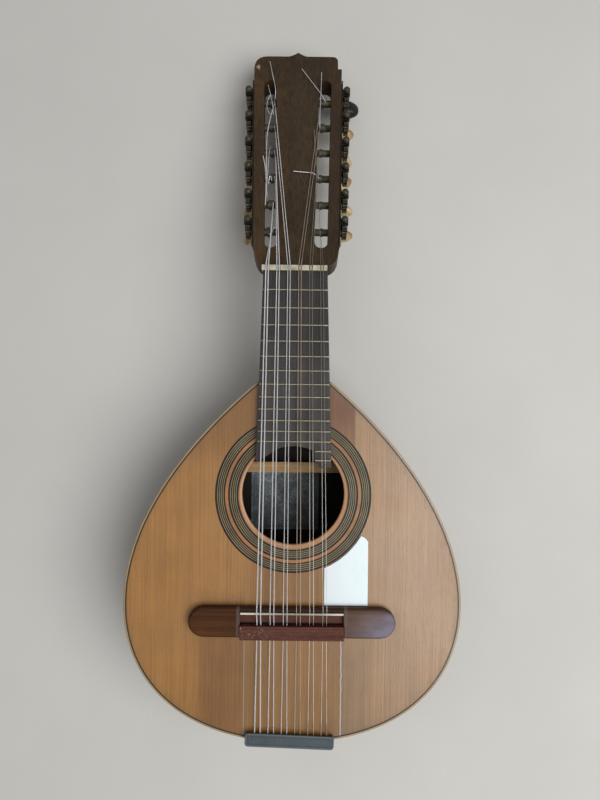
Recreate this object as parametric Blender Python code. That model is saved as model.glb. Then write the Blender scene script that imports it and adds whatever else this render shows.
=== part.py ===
"""Bandurria: a pear-shaped, flat-backed plucked instrument with six pairs of strings.

It lies on its back. The origin is on the back, directly below the middle of the saddle.
+Y runs along the neck to the head, +X is the treble side and +Z points out of the soundboard.
"""
import math

import bmesh
import bpy
from mathutils import Matrix, Vector

MM = 0.001

# Fits
GLUE_GAP = 0.3 * MM
RUNNING_GAP = 0.32 * MM

# Body outline: half of a pear, from the tail to the neck, as two cubic curves
TAIL_Y = -102 * MM
TAIL_FULLNESS = 82 * MM
BODY_HALF_WIDTH = 130 * MM
WIDEST_Y = 4 * MM
HIP_FULLNESS = 62 * MM
WAIST_FULLNESS = 66 * MM
SHOULDER_X = 28 * MM
SHOULDER_Y = 176 * MM
SHOULDER_FULLNESS = 68 * MM
SHOULDER_ANGLE = math.radians(40.5)
CURVE_STEPS = 14

# Body walls
BODY_DEPTH = 78 * MM
BACK_THICKNESS = 2.4 * MM
TOP_THICKNESS = 2.4 * MM
RIB_THICKNESS = 2.2 * MM
BINDING_WIDTH = 2.2 * MM
LINING_WIDTH = 5 * MM
LINING_HEIGHT = 7 * MM
LINING_END_STEP = 1

# Soundhole and rosette
HOLE_RADIUS = 39.2 * MM
HOLE_Y = 89.7 * MM
ROSETTE_INNER_RADIUS = 41.6 * MM
ROSETTE_OUTER_RADIUS = 60 * MM
ROSETTE_DEPTH = 1 * MM
ROSETTE_DROP = 1.1 * MM
RING_SIDES = 44

# Bars and blocks inside the body
TOP_BAR_THICKNESS = 6 * MM
TOP_BAR_HEIGHT = 13 * MM
UPPER_BAR_Y = 142 * MM
LOWER_BAR_Y = 30 * MM
BACK_BAR_THICKNESS = 9 * MM
BACK_BAR_HEIGHT = 10 * MM
BACK_BAR_Y = 102.5 * MM
BAR_END_SLOPE = 14 * MM
BAR_END_HEIGHT = 4 * MM
TAIL_BLOCK_HALF_WIDTH = 30 * MM
TAIL_BLOCK_DEPTH = 15 * MM
NECK_BLOCK_LENGTH = 22 * MM
NECK_BLOCK_HALF_WIDTH = 21 * MM
THROAT_HALF_WIDTH = 11 * MM

# Scale, nut, frets and fingerboard
SCALE_LENGTH = 260 * MM
FRET_COUNT = 14
SEMITONES = 12
FRET_WIDTH = 1.6 * MM
FRET_HEIGHT = 1 * MM
FRET_END_INSET = 0.4 * MM
BOARD_THICKNESS = 5 * MM
BOARD_NUT_HALF_WIDTH = 24.5 * MM
BOARD_TAPER = 0.0295
NUT_LENGTH = 4 * MM
NUT_HEIGHT = 7 * MM
NUT_NOTCH_DEPTH = 0.9 * MM
NUT_HALF_LENGTH = 24.9 * MM
NUT_SIDE_SHIFT = -0.7 * MM

# End of the fingerboard, with places from the soundhole's middle: a corner on the bass side, a
# straight edge, an arc over the hole's rim, and a tab on the treble side that carries the last frets
BOARD_CORNER_RISE = 23.7 * MM
BOARD_OVERHANG = 2.5 * MM
BOARD_ARC_START_X = -12.3 * MM
BOARD_ARC_END_X = 14.6 * MM
BOARD_ARC_STEPS = 8
BOARD_TAB_EDGE = ((15.6 * MM, 31.2 * MM), (15.6 * MM, 26.9 * MM), (17.4 * MM, 23.9 * MM), (20.5 * MM, 20.5 * MM))
FULL_FRETS = 12

# Neck and heel
NECK_DEPTH = 16.5 * MM
NECK_BELLY = 0.28
HEEL_CAP_LENGTH = 9 * MM
HEEL_SWEEP = 22 * MM
HEEL_CAP_HALF_WIDTH = 13 * MM
HEEL_BOTTOM_Z = 1 * MM

# Head
HEAD_TILT = math.radians(15)
HEAD_RISE = 1 * MM
HEAD_THICKNESS = 16 * MM
HEAD_ROOT_HALF_WIDTH = 25 * MM
HEAD_HALF_WIDTH = 32.8 * MM
HEAD_TAPER = math.radians(1.32)
HEAD_CORNER_LENGTH = 18.5 * MM
CHEEK_BULGE_RIGHT = 1.2 * MM
CHEEK_BULGE_LEFT = -0.8 * MM
CHEEK_STEPS = 5
HEAD_TOP = 196.8 * MM
OGEE_HEIGHT = 4.1 * MM
OGEE_HALF_WIDTH = 8.2 * MM
OGEE_POWER = 1.6
OGEE_HALF_STEPS = 4
STEP_BELOW_TOP = 12.7 * MM
STEP_WIDTH = 3.2 * MM
RIGHT_CORNER_RADIUS = 5 * MM
LEFT_CORNER_LENGTH = 11.5 * MM
SLOT_START = 15.5 * MM
SLOT_END = 172 * MM
SLOT_WIDTH = 10.5 * MM
SLOT_WALL = 8.4 * MM
SLOT_END_STEPS = 6

# Tuning machines
TUNERS_PER_SIDE = 6
FIRST_ROLLER = 33.4 * MM
TUNER_SPACING = 24.4 * MM
ROLLER_RADIUS = 2.8 * MM
ROLLER_SIDES = 8
ROLLER_SEAT = 4.5 * MM
PLATE_THICKNESS = 1 * MM
PLATE_TOP = 1.6 * MM
PLATE_HEIGHT = 13.6 * MM
PLATE_END_MARGIN = 11 * MM
GEAR_TEETH = 14
GEAR_PITCH_RADIUS = 5 * MM
GEAR_TIP_RADIUS = 5.45 * MM
GEAR_ROOT_RADIUS = 4.15 * MM
GEAR_THICKNESS = 3.6 * MM
TOOTH_TIP_WIDTH = 0.5 * MM
TOOTH_ROOT_WIDTH = 1 * MM
WORM_PITCH_RADIUS = 2.4 * MM
WORM_TIP_RADIUS = 2.9 * MM
WORM_ROOT_RADIUS = 1.65 * MM
WORM_TURNS = 3
WORM_SIDES = 8
THREAD_CREST = 0.35 * MM
THREAD_BASE = 0.8 * MM
SHAFT_RADIUS = 1.3 * MM
EAR_THICKNESS = 1.2 * MM
EAR_HALF_LENGTH = 2.9 * MM
BALL_RADIUS = 2.85 * MM
BALL_CUT = 0.9
BALL_LATITUDES = (-30, 30, 62)
BUTTON_START = 19 * MM
BUTTON_NECK = 1 * MM
BUTTON_LENGTH = 13 * MM
BUTTON_HALF_WIDTH = 8.5 * MM
BUTTON_HALF_THICKNESS = 3 * MM
KNOB_START = 17 * MM
KNOB_LENGTH = 12 * MM
KNOB_HALF_WIDTH = 12.5 * MM
KNOB_HALF_THICKNESS = 7 * MM

# How far each button stands turned, in degrees from lying across the head, from the nut to the tip
BUTTON_TURNS_RIGHT = (8, -15, 38, -40, 12, 0)
BUTTON_TURNS_LEFT = (60, 50, 120, 60, 75, 90)

# Bridge, saddle and tie block
BRIDGE_HALF_LENGTH = 78.9 * MM
BRIDGE_FRONT_Y = 4 * MM
BRIDGE_BACK_Y = -19.1 * MM
BRIDGE_HEIGHT = 7 * MM
BRIDGE_ROUNDING = 1.6 * MM
BRIDGE_END_STEPS = 8
BRIDGE_CENTRE_HALF = 39.6 * MM
CHANNEL_HEIGHT = 3.4 * MM
SADDLE_HALF_LENGTH = 39 * MM
SADDLE_THICKNESS = 1.5 * MM
SADDLE_SLOT_DEPTH = 3 * MM
SADDLE_HEIGHT = 8.9 * MM
TIE_FRONT_Y = -9.7 * MM
TIE_BACK_Y = -20.2 * MM
TIE_HEIGHT = 8.4 * MM
TIE_HOLE_RADIUS = 1.15 * MM
TIE_HOLE_HEIGHT = 4.9 * MM
TIE_HOLE_SIDES = 6

# Guard plate
GUARD_LEFT_X = 24.5 * MM
GUARD_THICKNESS = 0.8 * MM
GUARD_RING_GAP = 0.9 * MM
GUARD_SIDE_SETBACK = 2 * MM
GUARD_TIP_SETBACK = 5.5 * MM
GUARD_CORNER_DROP = 4.6 * MM
GUARD_CORNER_BULGE = 1.4 * MM
GUARD_CORNER_STEPS = 4
GUARD_BRIDGE_GAP = 0.3 * MM
GUARD_ARC_STEPS = 6

# Tailpiece
PLATE_FLANGE_HALF = 31 * MM
FLANGE_FRONT_Y = -96.4 * MM
FLANGE_THICKNESS = 1 * MM
FLANGE_LEG_HALF = 14 * MM
FLANGE_LEG_HEIGHT = 28 * MM
FLANGE_SETBACK = 1 * MM
HOOK_Y = -98.7 * MM
HOOK_RADIUS = 0.8 * MM
HOOK_HEIGHT = 2.2 * MM
HOOK_SIDES = 6
COVER_HALF_LENGTH = 34 * MM
COVER_SIDE_SHIFT = -1 * MM
COVER_FRONT_Y = -93.5 * MM
COVER_WIDTH = 9.9 * MM
COVER_HEIGHT = 4 * MM
COVER_WALL = 1.1 * MM
COVER_LIP = 1.4 * MM
COVER_CORNER = 2.5 * MM
COVER_CORNER_STEPS = 3
COVER_TURN = math.radians(-1.9)

# Strings, from the bass pair to the treble pair
STRING_DIAMETERS = (0.95 * MM, 0.76 * MM, 0.6 * MM, 0.48 * MM, 0.34 * MM, 0.32 * MM)
SADDLE_PAIR_SPACING = 10 * MM
SADDLE_PAIR_GAP = 2.9 * MM
NUT_PAIR_SPACING = 8.3 * MM
NUT_PAIR_GAP = 1.9 * MM
TAIL_PAIR_SPACING = 10.2 * MM
TAIL_PAIR_GAP = 4.4 * MM
TAIL_STRING_HEIGHT = 2.4 * MM
SLOT_ENTRY_RUN = 17 * MM
ROLLER_LANES = (0.42, 0.3, 0.2, 0.2, 0.2, 0.2)

# Places that follow from the sizes above
TOP_Z = BODY_DEPTH
TOP_UNDER_Z = TOP_Z - TOP_THICKNESS
ROSETTE_Y = HOLE_Y - ROSETTE_DROP
RIB_TOP_Z = TOP_UNDER_Z - GLUE_GAP
RIB_BOTTOM_Z = BACK_THICKNESS + GLUE_GAP
BOARD_TOP_Z = TOP_Z + BOARD_THICKNESS
SEAT_Z = TOP_Z + GLUE_GAP
SADDLE_TOP_Z = SEAT_Z + SADDLE_HEIGHT
NUT_BACK_Y = SCALE_LENGTH + NUT_LENGTH
NUT_TOP_Z = SEAT_Z + NUT_HEIGHT
HEAD_ORIGIN = Vector((0, NUT_BACK_Y + GLUE_GAP, TOP_Z + HEAD_RISE))
HEAD_FRAME = Matrix.Translation(HEAD_ORIGIN) @ Matrix.Rotation(-HEAD_TILT, 4, "X")
ROLLER_AXIS_DEPTH = HEAD_THICKNESS / 2
WORM_OFFSET = GEAR_PITCH_RADIUS + WORM_PITCH_RADIUS
WORM_PITCH = 2 * math.pi * GEAR_PITCH_RADIUS / GEAR_TEETH
WORM_OUT = GLUE_GAP + PLATE_THICKNESS + RUNNING_GAP + WORM_TIP_RADIUS
GEAR_INNER_FACE = WORM_OUT - GEAR_THICKNESS / 2
COURSES = len(STRING_DIAMETERS)


def clear_scene():
    """Remove every object of the scene that Blender opened with."""
    for item in list(bpy.data.objects):
        bpy.data.objects.remove(item, do_unlink=True)


def material(name, colour, roughness, metallic=0.0):
    """Make a Principled material of one colour."""
    made = bpy.data.materials.new(name)
    made.use_nodes = True
    shader = made.node_tree.nodes["Principled BSDF"]
    shader.inputs["Base Color"].default_value = (*colour, 1)
    shader.inputs["Roughness"].default_value = roughness
    shader.inputs["Metallic"].default_value = metallic
    return made


def make_materials():
    """Make the finishes of the instrument, by name."""
    return {
        "spruce": material("spruce", (0.36, 0.17, 0.065), 0.45),
        "cedar": material("cedar", (0.045, 0.025, 0.014), 0.4),
        "walnut": material("walnut", (0.09, 0.04, 0.018), 0.4),
        "ebony": material("ebony", (0.045, 0.035, 0.032), 0.4),
        "pale_wood": material("pale_wood", (0.46, 0.31, 0.15), 0.5),
        "inlay": material("inlay", (0.1, 0.07, 0.03), 0.4),
        "bone": material("bone", (0.72, 0.66, 0.48), 0.4),
        "rosewood": material("rosewood", (0.115, 0.03, 0.018), 0.4),
        "pearl": material("pearl", (0.8, 0.86, 0.87), 0.25),
        "slate": material("slate", (0.04, 0.055, 0.065), 0.6),
        "brass": material("brass", (0.2, 0.15, 0.09), 0.45, 0.9),
        "steel": material("steel", (0.6, 0.6, 0.58), 0.3, 1.0),
        "ivory": material("ivory", (0.66, 0.55, 0.33), 0.4),
        "black": material("black", (0.012, 0.012, 0.014), 0.3),
    }


def mesh_object(name, vertices, faces, finish, frame=None):
    """Make an object from vertices and faces, with its faces turned outwards."""
    mesh = bpy.data.meshes.new(name)
    mesh.from_pydata([tuple(v) for v in vertices], [], faces)
    shape = bmesh.new()
    shape.from_mesh(mesh)
    bmesh.ops.recalc_face_normals(shape, faces=shape.faces)
    shape.to_mesh(mesh)
    shape.free()
    if finish:
        mesh.materials.append(finish)
    made = bpy.data.objects.new(name, mesh)
    bpy.context.scene.collection.objects.link(made)
    if frame:
        made.matrix_world = frame
    return made


def stack(name, rings, finish, frame=None):
    """Skin rings of equal vertex count into one closed solid with flat ends."""
    count = len(rings[0])
    vertices = [v for ring in rings for v in ring]
    faces = []
    for level in range(len(rings) - 1):
        low = level * count
        high = low + count
        for side in range(count):
            after = (side + 1) % count
            faces.append((low + side, low + after, high + after, high + side))
    faces.append(tuple(reversed(range(count))))
    faces.append(tuple(range(len(vertices) - count, len(vertices))))
    return mesh_object(name, vertices, faces, finish, frame)


def prism(name, outline, bottom, top, finish, frame=None):
    """Extrude an outline of (x, y) points from bottom to top."""
    rings = [[(x, y, z) for x, y in outline] for z in (bottom, top)]
    return stack(name, rings, finish, frame)


def box(name, low, high, finish=None, frame=None):
    """Make a box from its lowest and highest corners."""
    outline = [(low[0], low[1]), (high[0], low[1]), (high[0], high[1]), (low[0], high[1])]
    return prism(name, outline, low[2], high[2], finish, frame)


def circle(radius, sides, centre=(0, 0), phase=0.0):
    """Give the points of a circle, counted anticlockwise."""
    angles = [phase + 2 * math.pi * i / sides for i in range(sides)]
    return [(centre[0] + radius * math.cos(a), centre[1] + radius * math.sin(a)) for a in angles]


def rod(name, start, end, radius, sides, finish=None):
    """Make a straight round bar between two points."""
    run = end - start
    frame = Matrix.Translation(start) @ run.to_track_quat("Z", "Y").to_matrix().to_4x4()
    return prism(name, circle(radius, sides), 0, run.length, finish, frame)


def group(name, parts):
    """Join separate guide solids into one object."""
    shape = bmesh.new()
    for part in parts:
        part.data.transform(part.matrix_basis)
        shape.from_mesh(part.data)
        bpy.data.objects.remove(part, do_unlink=True)
    mesh = bpy.data.meshes.new(name)
    shape.to_mesh(mesh)
    shape.free()
    made = bpy.data.objects.new(name, mesh)
    bpy.context.scene.collection.objects.link(made)
    return made


def shape_with(target, guide, operation):
    """Cut, join or trim a solid with a guide solid that stays hidden."""
    guide.hide_render = True
    guide.display_type = "WIRE"
    step = target.modifiers.new(guide.name, "BOOLEAN")
    step.operation = operation
    step.solver = "EXACT"
    step.object = guide


def settled_mesh(source):
    """Give the mesh of an object with its modifiers applied, and remove the object and its guides."""
    bpy.context.view_layer.update()
    evaluated = source.evaluated_get(bpy.context.evaluated_depsgraph_get())
    mesh = bpy.data.meshes.new_from_object(evaluated)
    guides = [step.object for step in source.modifiers if step.type == "BOOLEAN"]
    for item in [source, *guides]:
        bpy.data.objects.remove(item, do_unlink=True)
    return mesh


def cubic(start, first, second, end, steps):
    """Sample a cubic curve, leaving out its last point."""
    points = []
    for i in range(steps):
        t = i / steps
        weights = ((1 - t) ** 3, 3 * t * (1 - t) ** 2, 3 * t * t * (1 - t), t ** 3)
        corners = (start, first, second, end)
        points.append(tuple(sum(w * c[k] for w, c in zip(weights, corners)) for k in (0, 1)))
    return points


def half_outline():
    """Give the treble half of the body's outline, from the tail's middle to the shoulder."""
    tail = (0, TAIL_Y)
    wide = (BODY_HALF_WIDTH, WIDEST_Y)
    shoulder = (SHOULDER_X, SHOULDER_Y)
    below = (BODY_HALF_WIDTH, WIDEST_Y - HIP_FULLNESS)
    above = (BODY_HALF_WIDTH, WIDEST_Y + WAIST_FULLNESS)
    falling = (
        SHOULDER_X + SHOULDER_FULLNESS * math.cos(SHOULDER_ANGLE),
        SHOULDER_Y - SHOULDER_FULLNESS * math.sin(SHOULDER_ANGLE),
    )
    hip = cubic(tail, (TAIL_FULLNESS, TAIL_Y), below, wide, CURVE_STEPS)
    flank = cubic(wide, above, falling, shoulder, CURVE_STEPS)
    return hip + flank + [shoulder]


def inset_path(points, distance, first=None, last=None):
    """Move an open path to its left by a distance, with mitred corners.

    first and last are the directions before the first point and after the last one, where the
    path goes on past its ends.
    """
    corners = [Vector(p) for p in points]
    runs = [(b - a).normalized() for a, b in zip(corners, corners[1:])]
    runs = [Vector(first) if first else runs[0]] + runs + [Vector(last) if last else runs[-1]]
    moved = []
    for corner, before, after in zip(corners, runs, runs[1:]):
        side = Vector((-before.y, before.x)) + Vector((-after.y, after.x))
        side.normalize()
        reach = distance / side.dot(Vector((-after.y, after.x)))
        moved.append(tuple(corner + side * reach))
    return moved


def inset_half(distance):
    """Give the treble half of the outline moved inwards, level at the tail and at the neck."""
    return inset_path(half_outline(), distance, first=(1, 0), last=(-1, 0))


def mirrored(points):
    """Give points on the bass side for points on the treble side, in turning order."""
    return [(-x, y) for x, y in reversed(points)]


def closed_outline(distance):
    """Give the whole outline of the body moved inwards."""
    treble = inset_half(distance)
    return treble + mirrored(treble[1:])


def half_width_at(y, distance):
    """Give the body's half width at y, moved inwards."""
    points = inset_half(distance)
    for (x0, y0), (x1, y1) in zip(points, points[1:]):
        if y0 <= y <= y1 and y1 > y0:
            return x0 + (x1 - x0) * (y - y0) / (y1 - y0)
    return 0.0


def band(name, outer, inner, bottom, top, finish):
    """Make a curved wall between an outer and an inner open path."""
    return prism(name, outer + list(reversed(inner)), bottom, top, finish)


def ring_band(name, distance, width, ends, bottom, top, finish):
    """Make a band round the body that is open at the neck, leaving steps of the curve at its ends."""
    outer = inset_half(distance)
    inner = inset_half(distance + width)
    last = len(outer) - ends
    outer_path = mirrored(outer[1:last]) + outer[:last]
    inner_path = mirrored(inner[1:last]) + inner[:last]
    return band(name, outer_path, inner_path, bottom, top, finish)


def make_back(finishes):
    """Make the flat back, whose lower face is what the instrument rests on."""
    prism("back", closed_outline(0), 0, BACK_THICKNESS, finishes["walnut"])


def make_ribs(finishes):
    """Make the two bent sides, which meet at the tail and end in the neck's throat."""
    half_joint = GLUE_GAP / 2
    throat = (THROAT_HALF_WIDTH + GLUE_GAP, SHOULDER_Y)
    path = half_outline() + [throat]
    inner = inset_path(path, RIB_THICKNESS, first=(1, 0), last=(-1, 0))
    outer = [(half_joint, TAIL_Y)] + path[1:]
    inner = [(half_joint, inner[0][1])] + inner[1:]
    band("rib_right", outer, inner, RIB_BOTTOM_Z, RIB_TOP_Z, finishes["walnut"])
    outer = [(-x, y) for x, y in outer]
    inner = [(-x, y) for x, y in inner]
    band("rib_left", outer, inner, RIB_BOTTOM_Z, RIB_TOP_Z, finishes["walnut"])


def make_linings(finishes):
    """Make the binding round the soundboard and the two linings inside the ribs."""
    ring_band("top_binding", 0, BINDING_WIDTH, 0, TOP_UNDER_Z, TOP_Z, finishes["pale_wood"])
    depth = RIB_THICKNESS + GLUE_GAP
    top_low = RIB_TOP_Z - LINING_HEIGHT
    back_high = RIB_BOTTOM_Z + LINING_HEIGHT
    ends = LINING_END_STEP
    ring_band("top_lining", depth, LINING_WIDTH, ends, top_low, RIB_TOP_Z, finishes["pale_wood"])
    ring_band("back_lining", depth, LINING_WIDTH, ends, RIB_BOTTOM_Z, back_high, finishes["pale_wood"])


def make_soundboard(finishes):
    """Make the soundboard with its hole and the groove that the rosette lies in."""
    board = prism("soundboard", closed_outline(BINDING_WIDTH + GLUE_GAP), TOP_UNDER_Z, TOP_Z,
                  finishes["spruce"])
    centre = (0, HOLE_Y)
    over = TOP_THICKNESS
    hole = prism("soundhole_guide", circle(HOLE_RADIUS, RING_SIDES, centre), TOP_UNDER_Z - over,
                 TOP_Z + over, None)
    groove = ring("groove_guide", ROSETTE_INNER_RADIUS - GLUE_GAP, ROSETTE_OUTER_RADIUS + GLUE_GAP,
                  TOP_Z - ROSETTE_DEPTH - GLUE_GAP, TOP_Z + over, None)
    shape_with(board, hole, "DIFFERENCE")
    shape_with(board, groove, "DIFFERENCE")
    ring("rosette", ROSETTE_INNER_RADIUS, ROSETTE_OUTER_RADIUS, TOP_Z - ROSETTE_DEPTH, TOP_Z,
         finishes["inlay"])


def ring(name, inner_radius, outer_radius, bottom, top, finish):
    """Make a flat ring round the soundhole's middle."""
    profile = ((inner_radius, bottom), (outer_radius, bottom), (outer_radius, top), (inner_radius, top))
    vertices = []
    for radius, z in profile:
        vertices += [(x, y, z) for x, y in circle(radius, RING_SIDES, (0, ROSETTE_Y))]
    faces = []
    for level in range(4):
        low = level * RING_SIDES
        high = (level + 1) % 4 * RING_SIDES
        for side in range(RING_SIDES):
            after = (side + 1) % RING_SIDES
            faces.append((low + side, low + after, high + after, high + side))
    return mesh_object(name, vertices, faces, finish)


def bar(name, y, thickness, height, glued_z, direction, finish):
    """Make a bar across the body, glued at glued_z and standing off it, with sloping ends."""
    reach = RIB_THICKNESS + LINING_WIDTH + 3 * GLUE_GAP
    half = min(half_width_at(y - thickness / 2, reach), half_width_at(y + thickness / 2, reach))
    low = glued_z + direction * BAR_END_HEIGHT
    full = glued_z + direction * height
    profile = [(-half, glued_z), (half, glued_z), (half, low), (half - BAR_END_SLOPE, full),
               (-half + BAR_END_SLOPE, full), (-half, low)]
    rings = [[(x, y + side * thickness / 2, z) for x, z in profile] for side in (-1, 1)]
    stack(name, rings, finish)


def make_bars(finishes):
    """Make the bars that stiffen the soundboard and the back."""
    wood = finishes["pale_wood"]
    upper_y = UPPER_BAR_Y
    bar("soundboard_bar_upper", upper_y, TOP_BAR_THICKNESS, TOP_BAR_HEIGHT, RIB_TOP_Z, -1, wood)
    bar("soundboard_bar_lower", LOWER_BAR_Y, TOP_BAR_THICKNESS, TOP_BAR_HEIGHT, RIB_TOP_Z, -1, wood)
    bar("back_bar", BACK_BAR_Y, BACK_BAR_THICKNESS, BACK_BAR_HEIGHT, RIB_BOTTOM_Z, 1, wood)


def make_tail_block(finishes):
    """Make the block behind the tail joint of the ribs, notched for the linings."""
    depth = RIB_THICKNESS + GLUE_GAP
    path = inset_half(depth)
    outer = [p for p in path if p[0] < TAIL_BLOCK_HALF_WIDTH and p[1] < WIDEST_Y]
    (x0, y0), (x1, y1) = path[len(outer) - 1], path[len(outer)]
    edge_y = y0 + (y1 - y0) * (TAIL_BLOCK_HALF_WIDTH - x0) / (x1 - x0)
    half = outer + [(TAIL_BLOCK_HALF_WIDTH, edge_y), (TAIL_BLOCK_HALF_WIDTH, TAIL_Y + depth + TAIL_BLOCK_DEPTH)]
    block = prism("tail_block", half + mirrored(half[1:]), RIB_BOTTOM_Z, RIB_TOP_Z, finishes["pale_wood"])
    depth = depth - 2 * GLUE_GAP
    width = LINING_WIDTH + 3 * GLUE_GAP
    over = LINING_HEIGHT
    top_notch = ring_band("top_notch_guide", depth, width, 1, RIB_TOP_Z - LINING_HEIGHT - GLUE_GAP,
                          RIB_TOP_Z + over, None)
    back_notch = ring_band("back_notch_guide", depth, width, 1, RIB_BOTTOM_Z - over,
                           RIB_BOTTOM_Z + LINING_HEIGHT + GLUE_GAP, None)
    shape_with(block, top_notch, "DIFFERENCE")
    shape_with(block, back_notch, "DIFFERENCE")


def board_half_width(y):
    """Give the fingerboard's half width at y."""
    return BOARD_NUT_HALF_WIDTH + BOARD_TAPER * (SCALE_LENGTH - y)


def board_outline(inset):
    """Give the fingerboard's outline: straight sides, an end cut round the soundhole, and a tab."""
    top_y = SCALE_LENGTH - GLUE_GAP
    corner_y = HOLE_Y + BOARD_CORNER_RISE
    radius = HOLE_RADIUS - BOARD_OVERHANG
    start = math.acos(BOARD_ARC_START_X / radius)
    end = math.acos(BOARD_ARC_END_X / radius)
    outline = [(-board_half_width(corner_y) + inset, corner_y)]
    for i in range(BOARD_ARC_STEPS + 1):
        angle = start + (end - start) * i / BOARD_ARC_STEPS
        outline.append((radius * math.cos(angle), HOLE_Y + radius * math.sin(angle)))
    outline += [(x, HOLE_Y + rise) for x, rise in BOARD_TAB_EDGE]
    tab_end_y = outline[-1][1]
    return outline + [
        (board_half_width(tab_end_y) - inset, tab_end_y),
        (board_half_width(top_y) - inset, top_y),
        (-board_half_width(top_y) + inset, top_y),
    ]


def make_fingerboard(finishes):
    """Make the fingerboard with its frets, which are trimmed to the board."""
    board = prism("fingerboard", board_outline(0), SEAT_Z, BOARD_TOP_Z, finishes["ebony"])
    half = board_half_width(0)
    sunk = BOARD_TOP_Z - FRET_HEIGHT
    strips = []
    for number in range(1, FRET_COUNT + 1):
        y = SCALE_LENGTH * 2 ** (-number / SEMITONES)
        left = -half if number <= FULL_FRETS else BOARD_TAB_EDGE[0][0] + FRET_END_INSET
        low = (left, y - FRET_WIDTH / 2, sunk)
        high = (half, y + FRET_WIDTH / 2, BOARD_TOP_Z + FRET_HEIGHT)
        strips.append(box("fret", low, high))
    frets = group("frets_guide", strips)
    trim = prism("fret_trim_guide", board_outline(FRET_END_INSET), SEAT_Z, BOARD_TOP_Z + 2 * FRET_HEIGHT,
                 None)
    shape_with(frets, trim, "INTERSECT")
    shape_with(board, frets, "UNION")


def string_x(index, spacing, pair_gap):
    """Give the x of one of the twelve strings where the pairs have this spacing."""
    pair, member = divmod(index, 2)
    return (pair - (COURSES - 1) / 2) * spacing + (member - 0.5) * pair_gap


def nut_x(index):
    """Give the x of a string's notch in the nut, which sits a little towards the bass side."""
    return NUT_SIDE_SHIFT + string_x(index, NUT_PAIR_SPACING, NUT_PAIR_GAP)


def string_diameter(index):
    """Give the diameter of one of the twelve strings."""
    return STRING_DIAMETERS[index // 2]


def make_nut(finishes):
    """Make the nut, with a notch for each string."""
    left = NUT_SIDE_SHIFT - NUT_HALF_LENGTH
    right = NUT_SIDE_SHIFT + NUT_HALF_LENGTH
    floor = NUT_TOP_Z - NUT_NOTCH_DEPTH
    profile = [(left, SEAT_Z), (right, SEAT_Z), (right, NUT_TOP_Z)]
    for index in reversed(range(2 * COURSES)):
        x = nut_x(index)
        reach = string_diameter(index) / 2 + GLUE_GAP
        profile += [(x + reach, NUT_TOP_Z), (x + reach, floor), (x - reach, floor), (x - reach, NUT_TOP_Z)]
    profile.append((left, NUT_TOP_Z))
    rings = [[(x, y, z) for x, z in profile] for y in (NUT_BACK_Y, SCALE_LENGTH)]
    stack("nut", rings, finishes["bone"])


def heel_fraction(y):
    """Give how far the heel has swept down at y, from 0 on the neck to 1 at its cap."""
    cap_end = SHOULDER_Y + GLUE_GAP + HEEL_CAP_LENGTH
    t = min(max((y - cap_end) / HEEL_SWEEP, 0), 1)
    return 1 - math.sqrt(max(1 - (1 - t) ** 2, 0))


def neck_ring(y):
    """Give the neck's section at y: a flat top and a round belly that deepens into the heel."""
    sweep = heel_fraction(y)
    half = board_half_width(y)
    belly_z = TOP_Z - NECK_DEPTH
    bottom = belly_z + (HEEL_BOTTOM_Z - belly_z) * sweep
    side = []
    for depth in (0, 0.25, 0.5, 0.72, 0.9, 1):
        belly = half * (NECK_BELLY + (1 - NECK_BELLY) * math.sqrt(1 - depth ** 2.2))
        heel = half + (HEEL_CAP_HALF_WIDTH - half) * depth ** 1.2
        x = belly + (heel - belly) * sweep
        side.append((x, y, TOP_Z + (bottom - TOP_Z) * depth))
    return side + [(-x, at, z) for x, at, z in reversed(side)]


def make_neck(finishes):
    """Make the neck with its heel outside the body and its block inside."""
    face = SHOULDER_Y + GLUE_GAP
    cap_end = face + HEEL_CAP_LENGTH
    sweeps = [0, 0.04, 0.15, 0.35, 0.65, 1]
    stations = [face] + [cap_end + HEEL_SWEEP * t for t in sweeps] + [NUT_BACK_Y + HEAD_THICKNESS / 2]
    neck = stack("neck", [neck_ring(y) for y in stations], finishes["cedar"])
    beyond = Vector((BODY_HALF_WIDTH, BODY_HALF_WIDTH, BODY_HALF_WIDTH))
    low = (-beyond.x, -GLUE_GAP, -beyond.z)
    head_space = box("head_joint_guide", low, beyond, None, HEAD_FRAME)
    shape_with(neck, head_space, "DIFFERENCE")
    block_end = SHOULDER_Y - RIB_THICKNESS - GLUE_GAP
    block = NECK_BLOCK_HALF_WIDTH
    throat = THROAT_HALF_WIDTH
    inner_end = block_end - NECK_BLOCK_LENGTH
    outline = [(-block, inner_end), (block, inner_end), (block, block_end), (throat, block_end),
               (throat, face + RIB_THICKNESS), (-throat, face + RIB_THICKNESS), (-throat, block_end),
               (-block, block_end)]
    inside = prism("neck_block_guide", outline, RIB_BOTTOM_Z, RIB_TOP_Z, None)
    shape_with(neck, inside, "UNION")


def side_frame(side):
    """Give a head side's frame: x runs outwards from the side, y towards the tip, z up.

    side is 1 on the treble side and -1 on the bass side, where x points the other way.
    """
    out = Vector((side * math.cos(HEAD_TAPER), -math.sin(HEAD_TAPER), 0))
    along = Vector((side * math.sin(HEAD_TAPER), math.cos(HEAD_TAPER), 0))
    frame = Matrix.Identity(4)
    frame.col[0][:3] = out
    frame.col[1][:3] = along
    frame.col[3][:3] = (side * HEAD_HALF_WIDTH, 0, 0)
    return HEAD_FRAME @ frame


def side_point(side, out, along, up):
    """Give the place that is out from a head side, along it towards the tip, and up from the face."""
    return side_frame(side) @ Vector((out, along, up))


def head_side_x(along):
    """Give the head's half width at a distance along it."""
    return HEAD_HALF_WIDTH + along * math.tan(HEAD_TAPER)


def quadratic(start, middle, end, steps):
    """Sample a quadratic curve, leaving out its last point."""
    points = []
    for i in range(steps):
        t = i / steps
        weights = ((1 - t) ** 2, 2 * t * (1 - t), t * t)
        points.append(tuple(sum(w * c[k] for w, c in zip(weights, (start, middle, end))) for k in (0, 1)))
    return points


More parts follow.
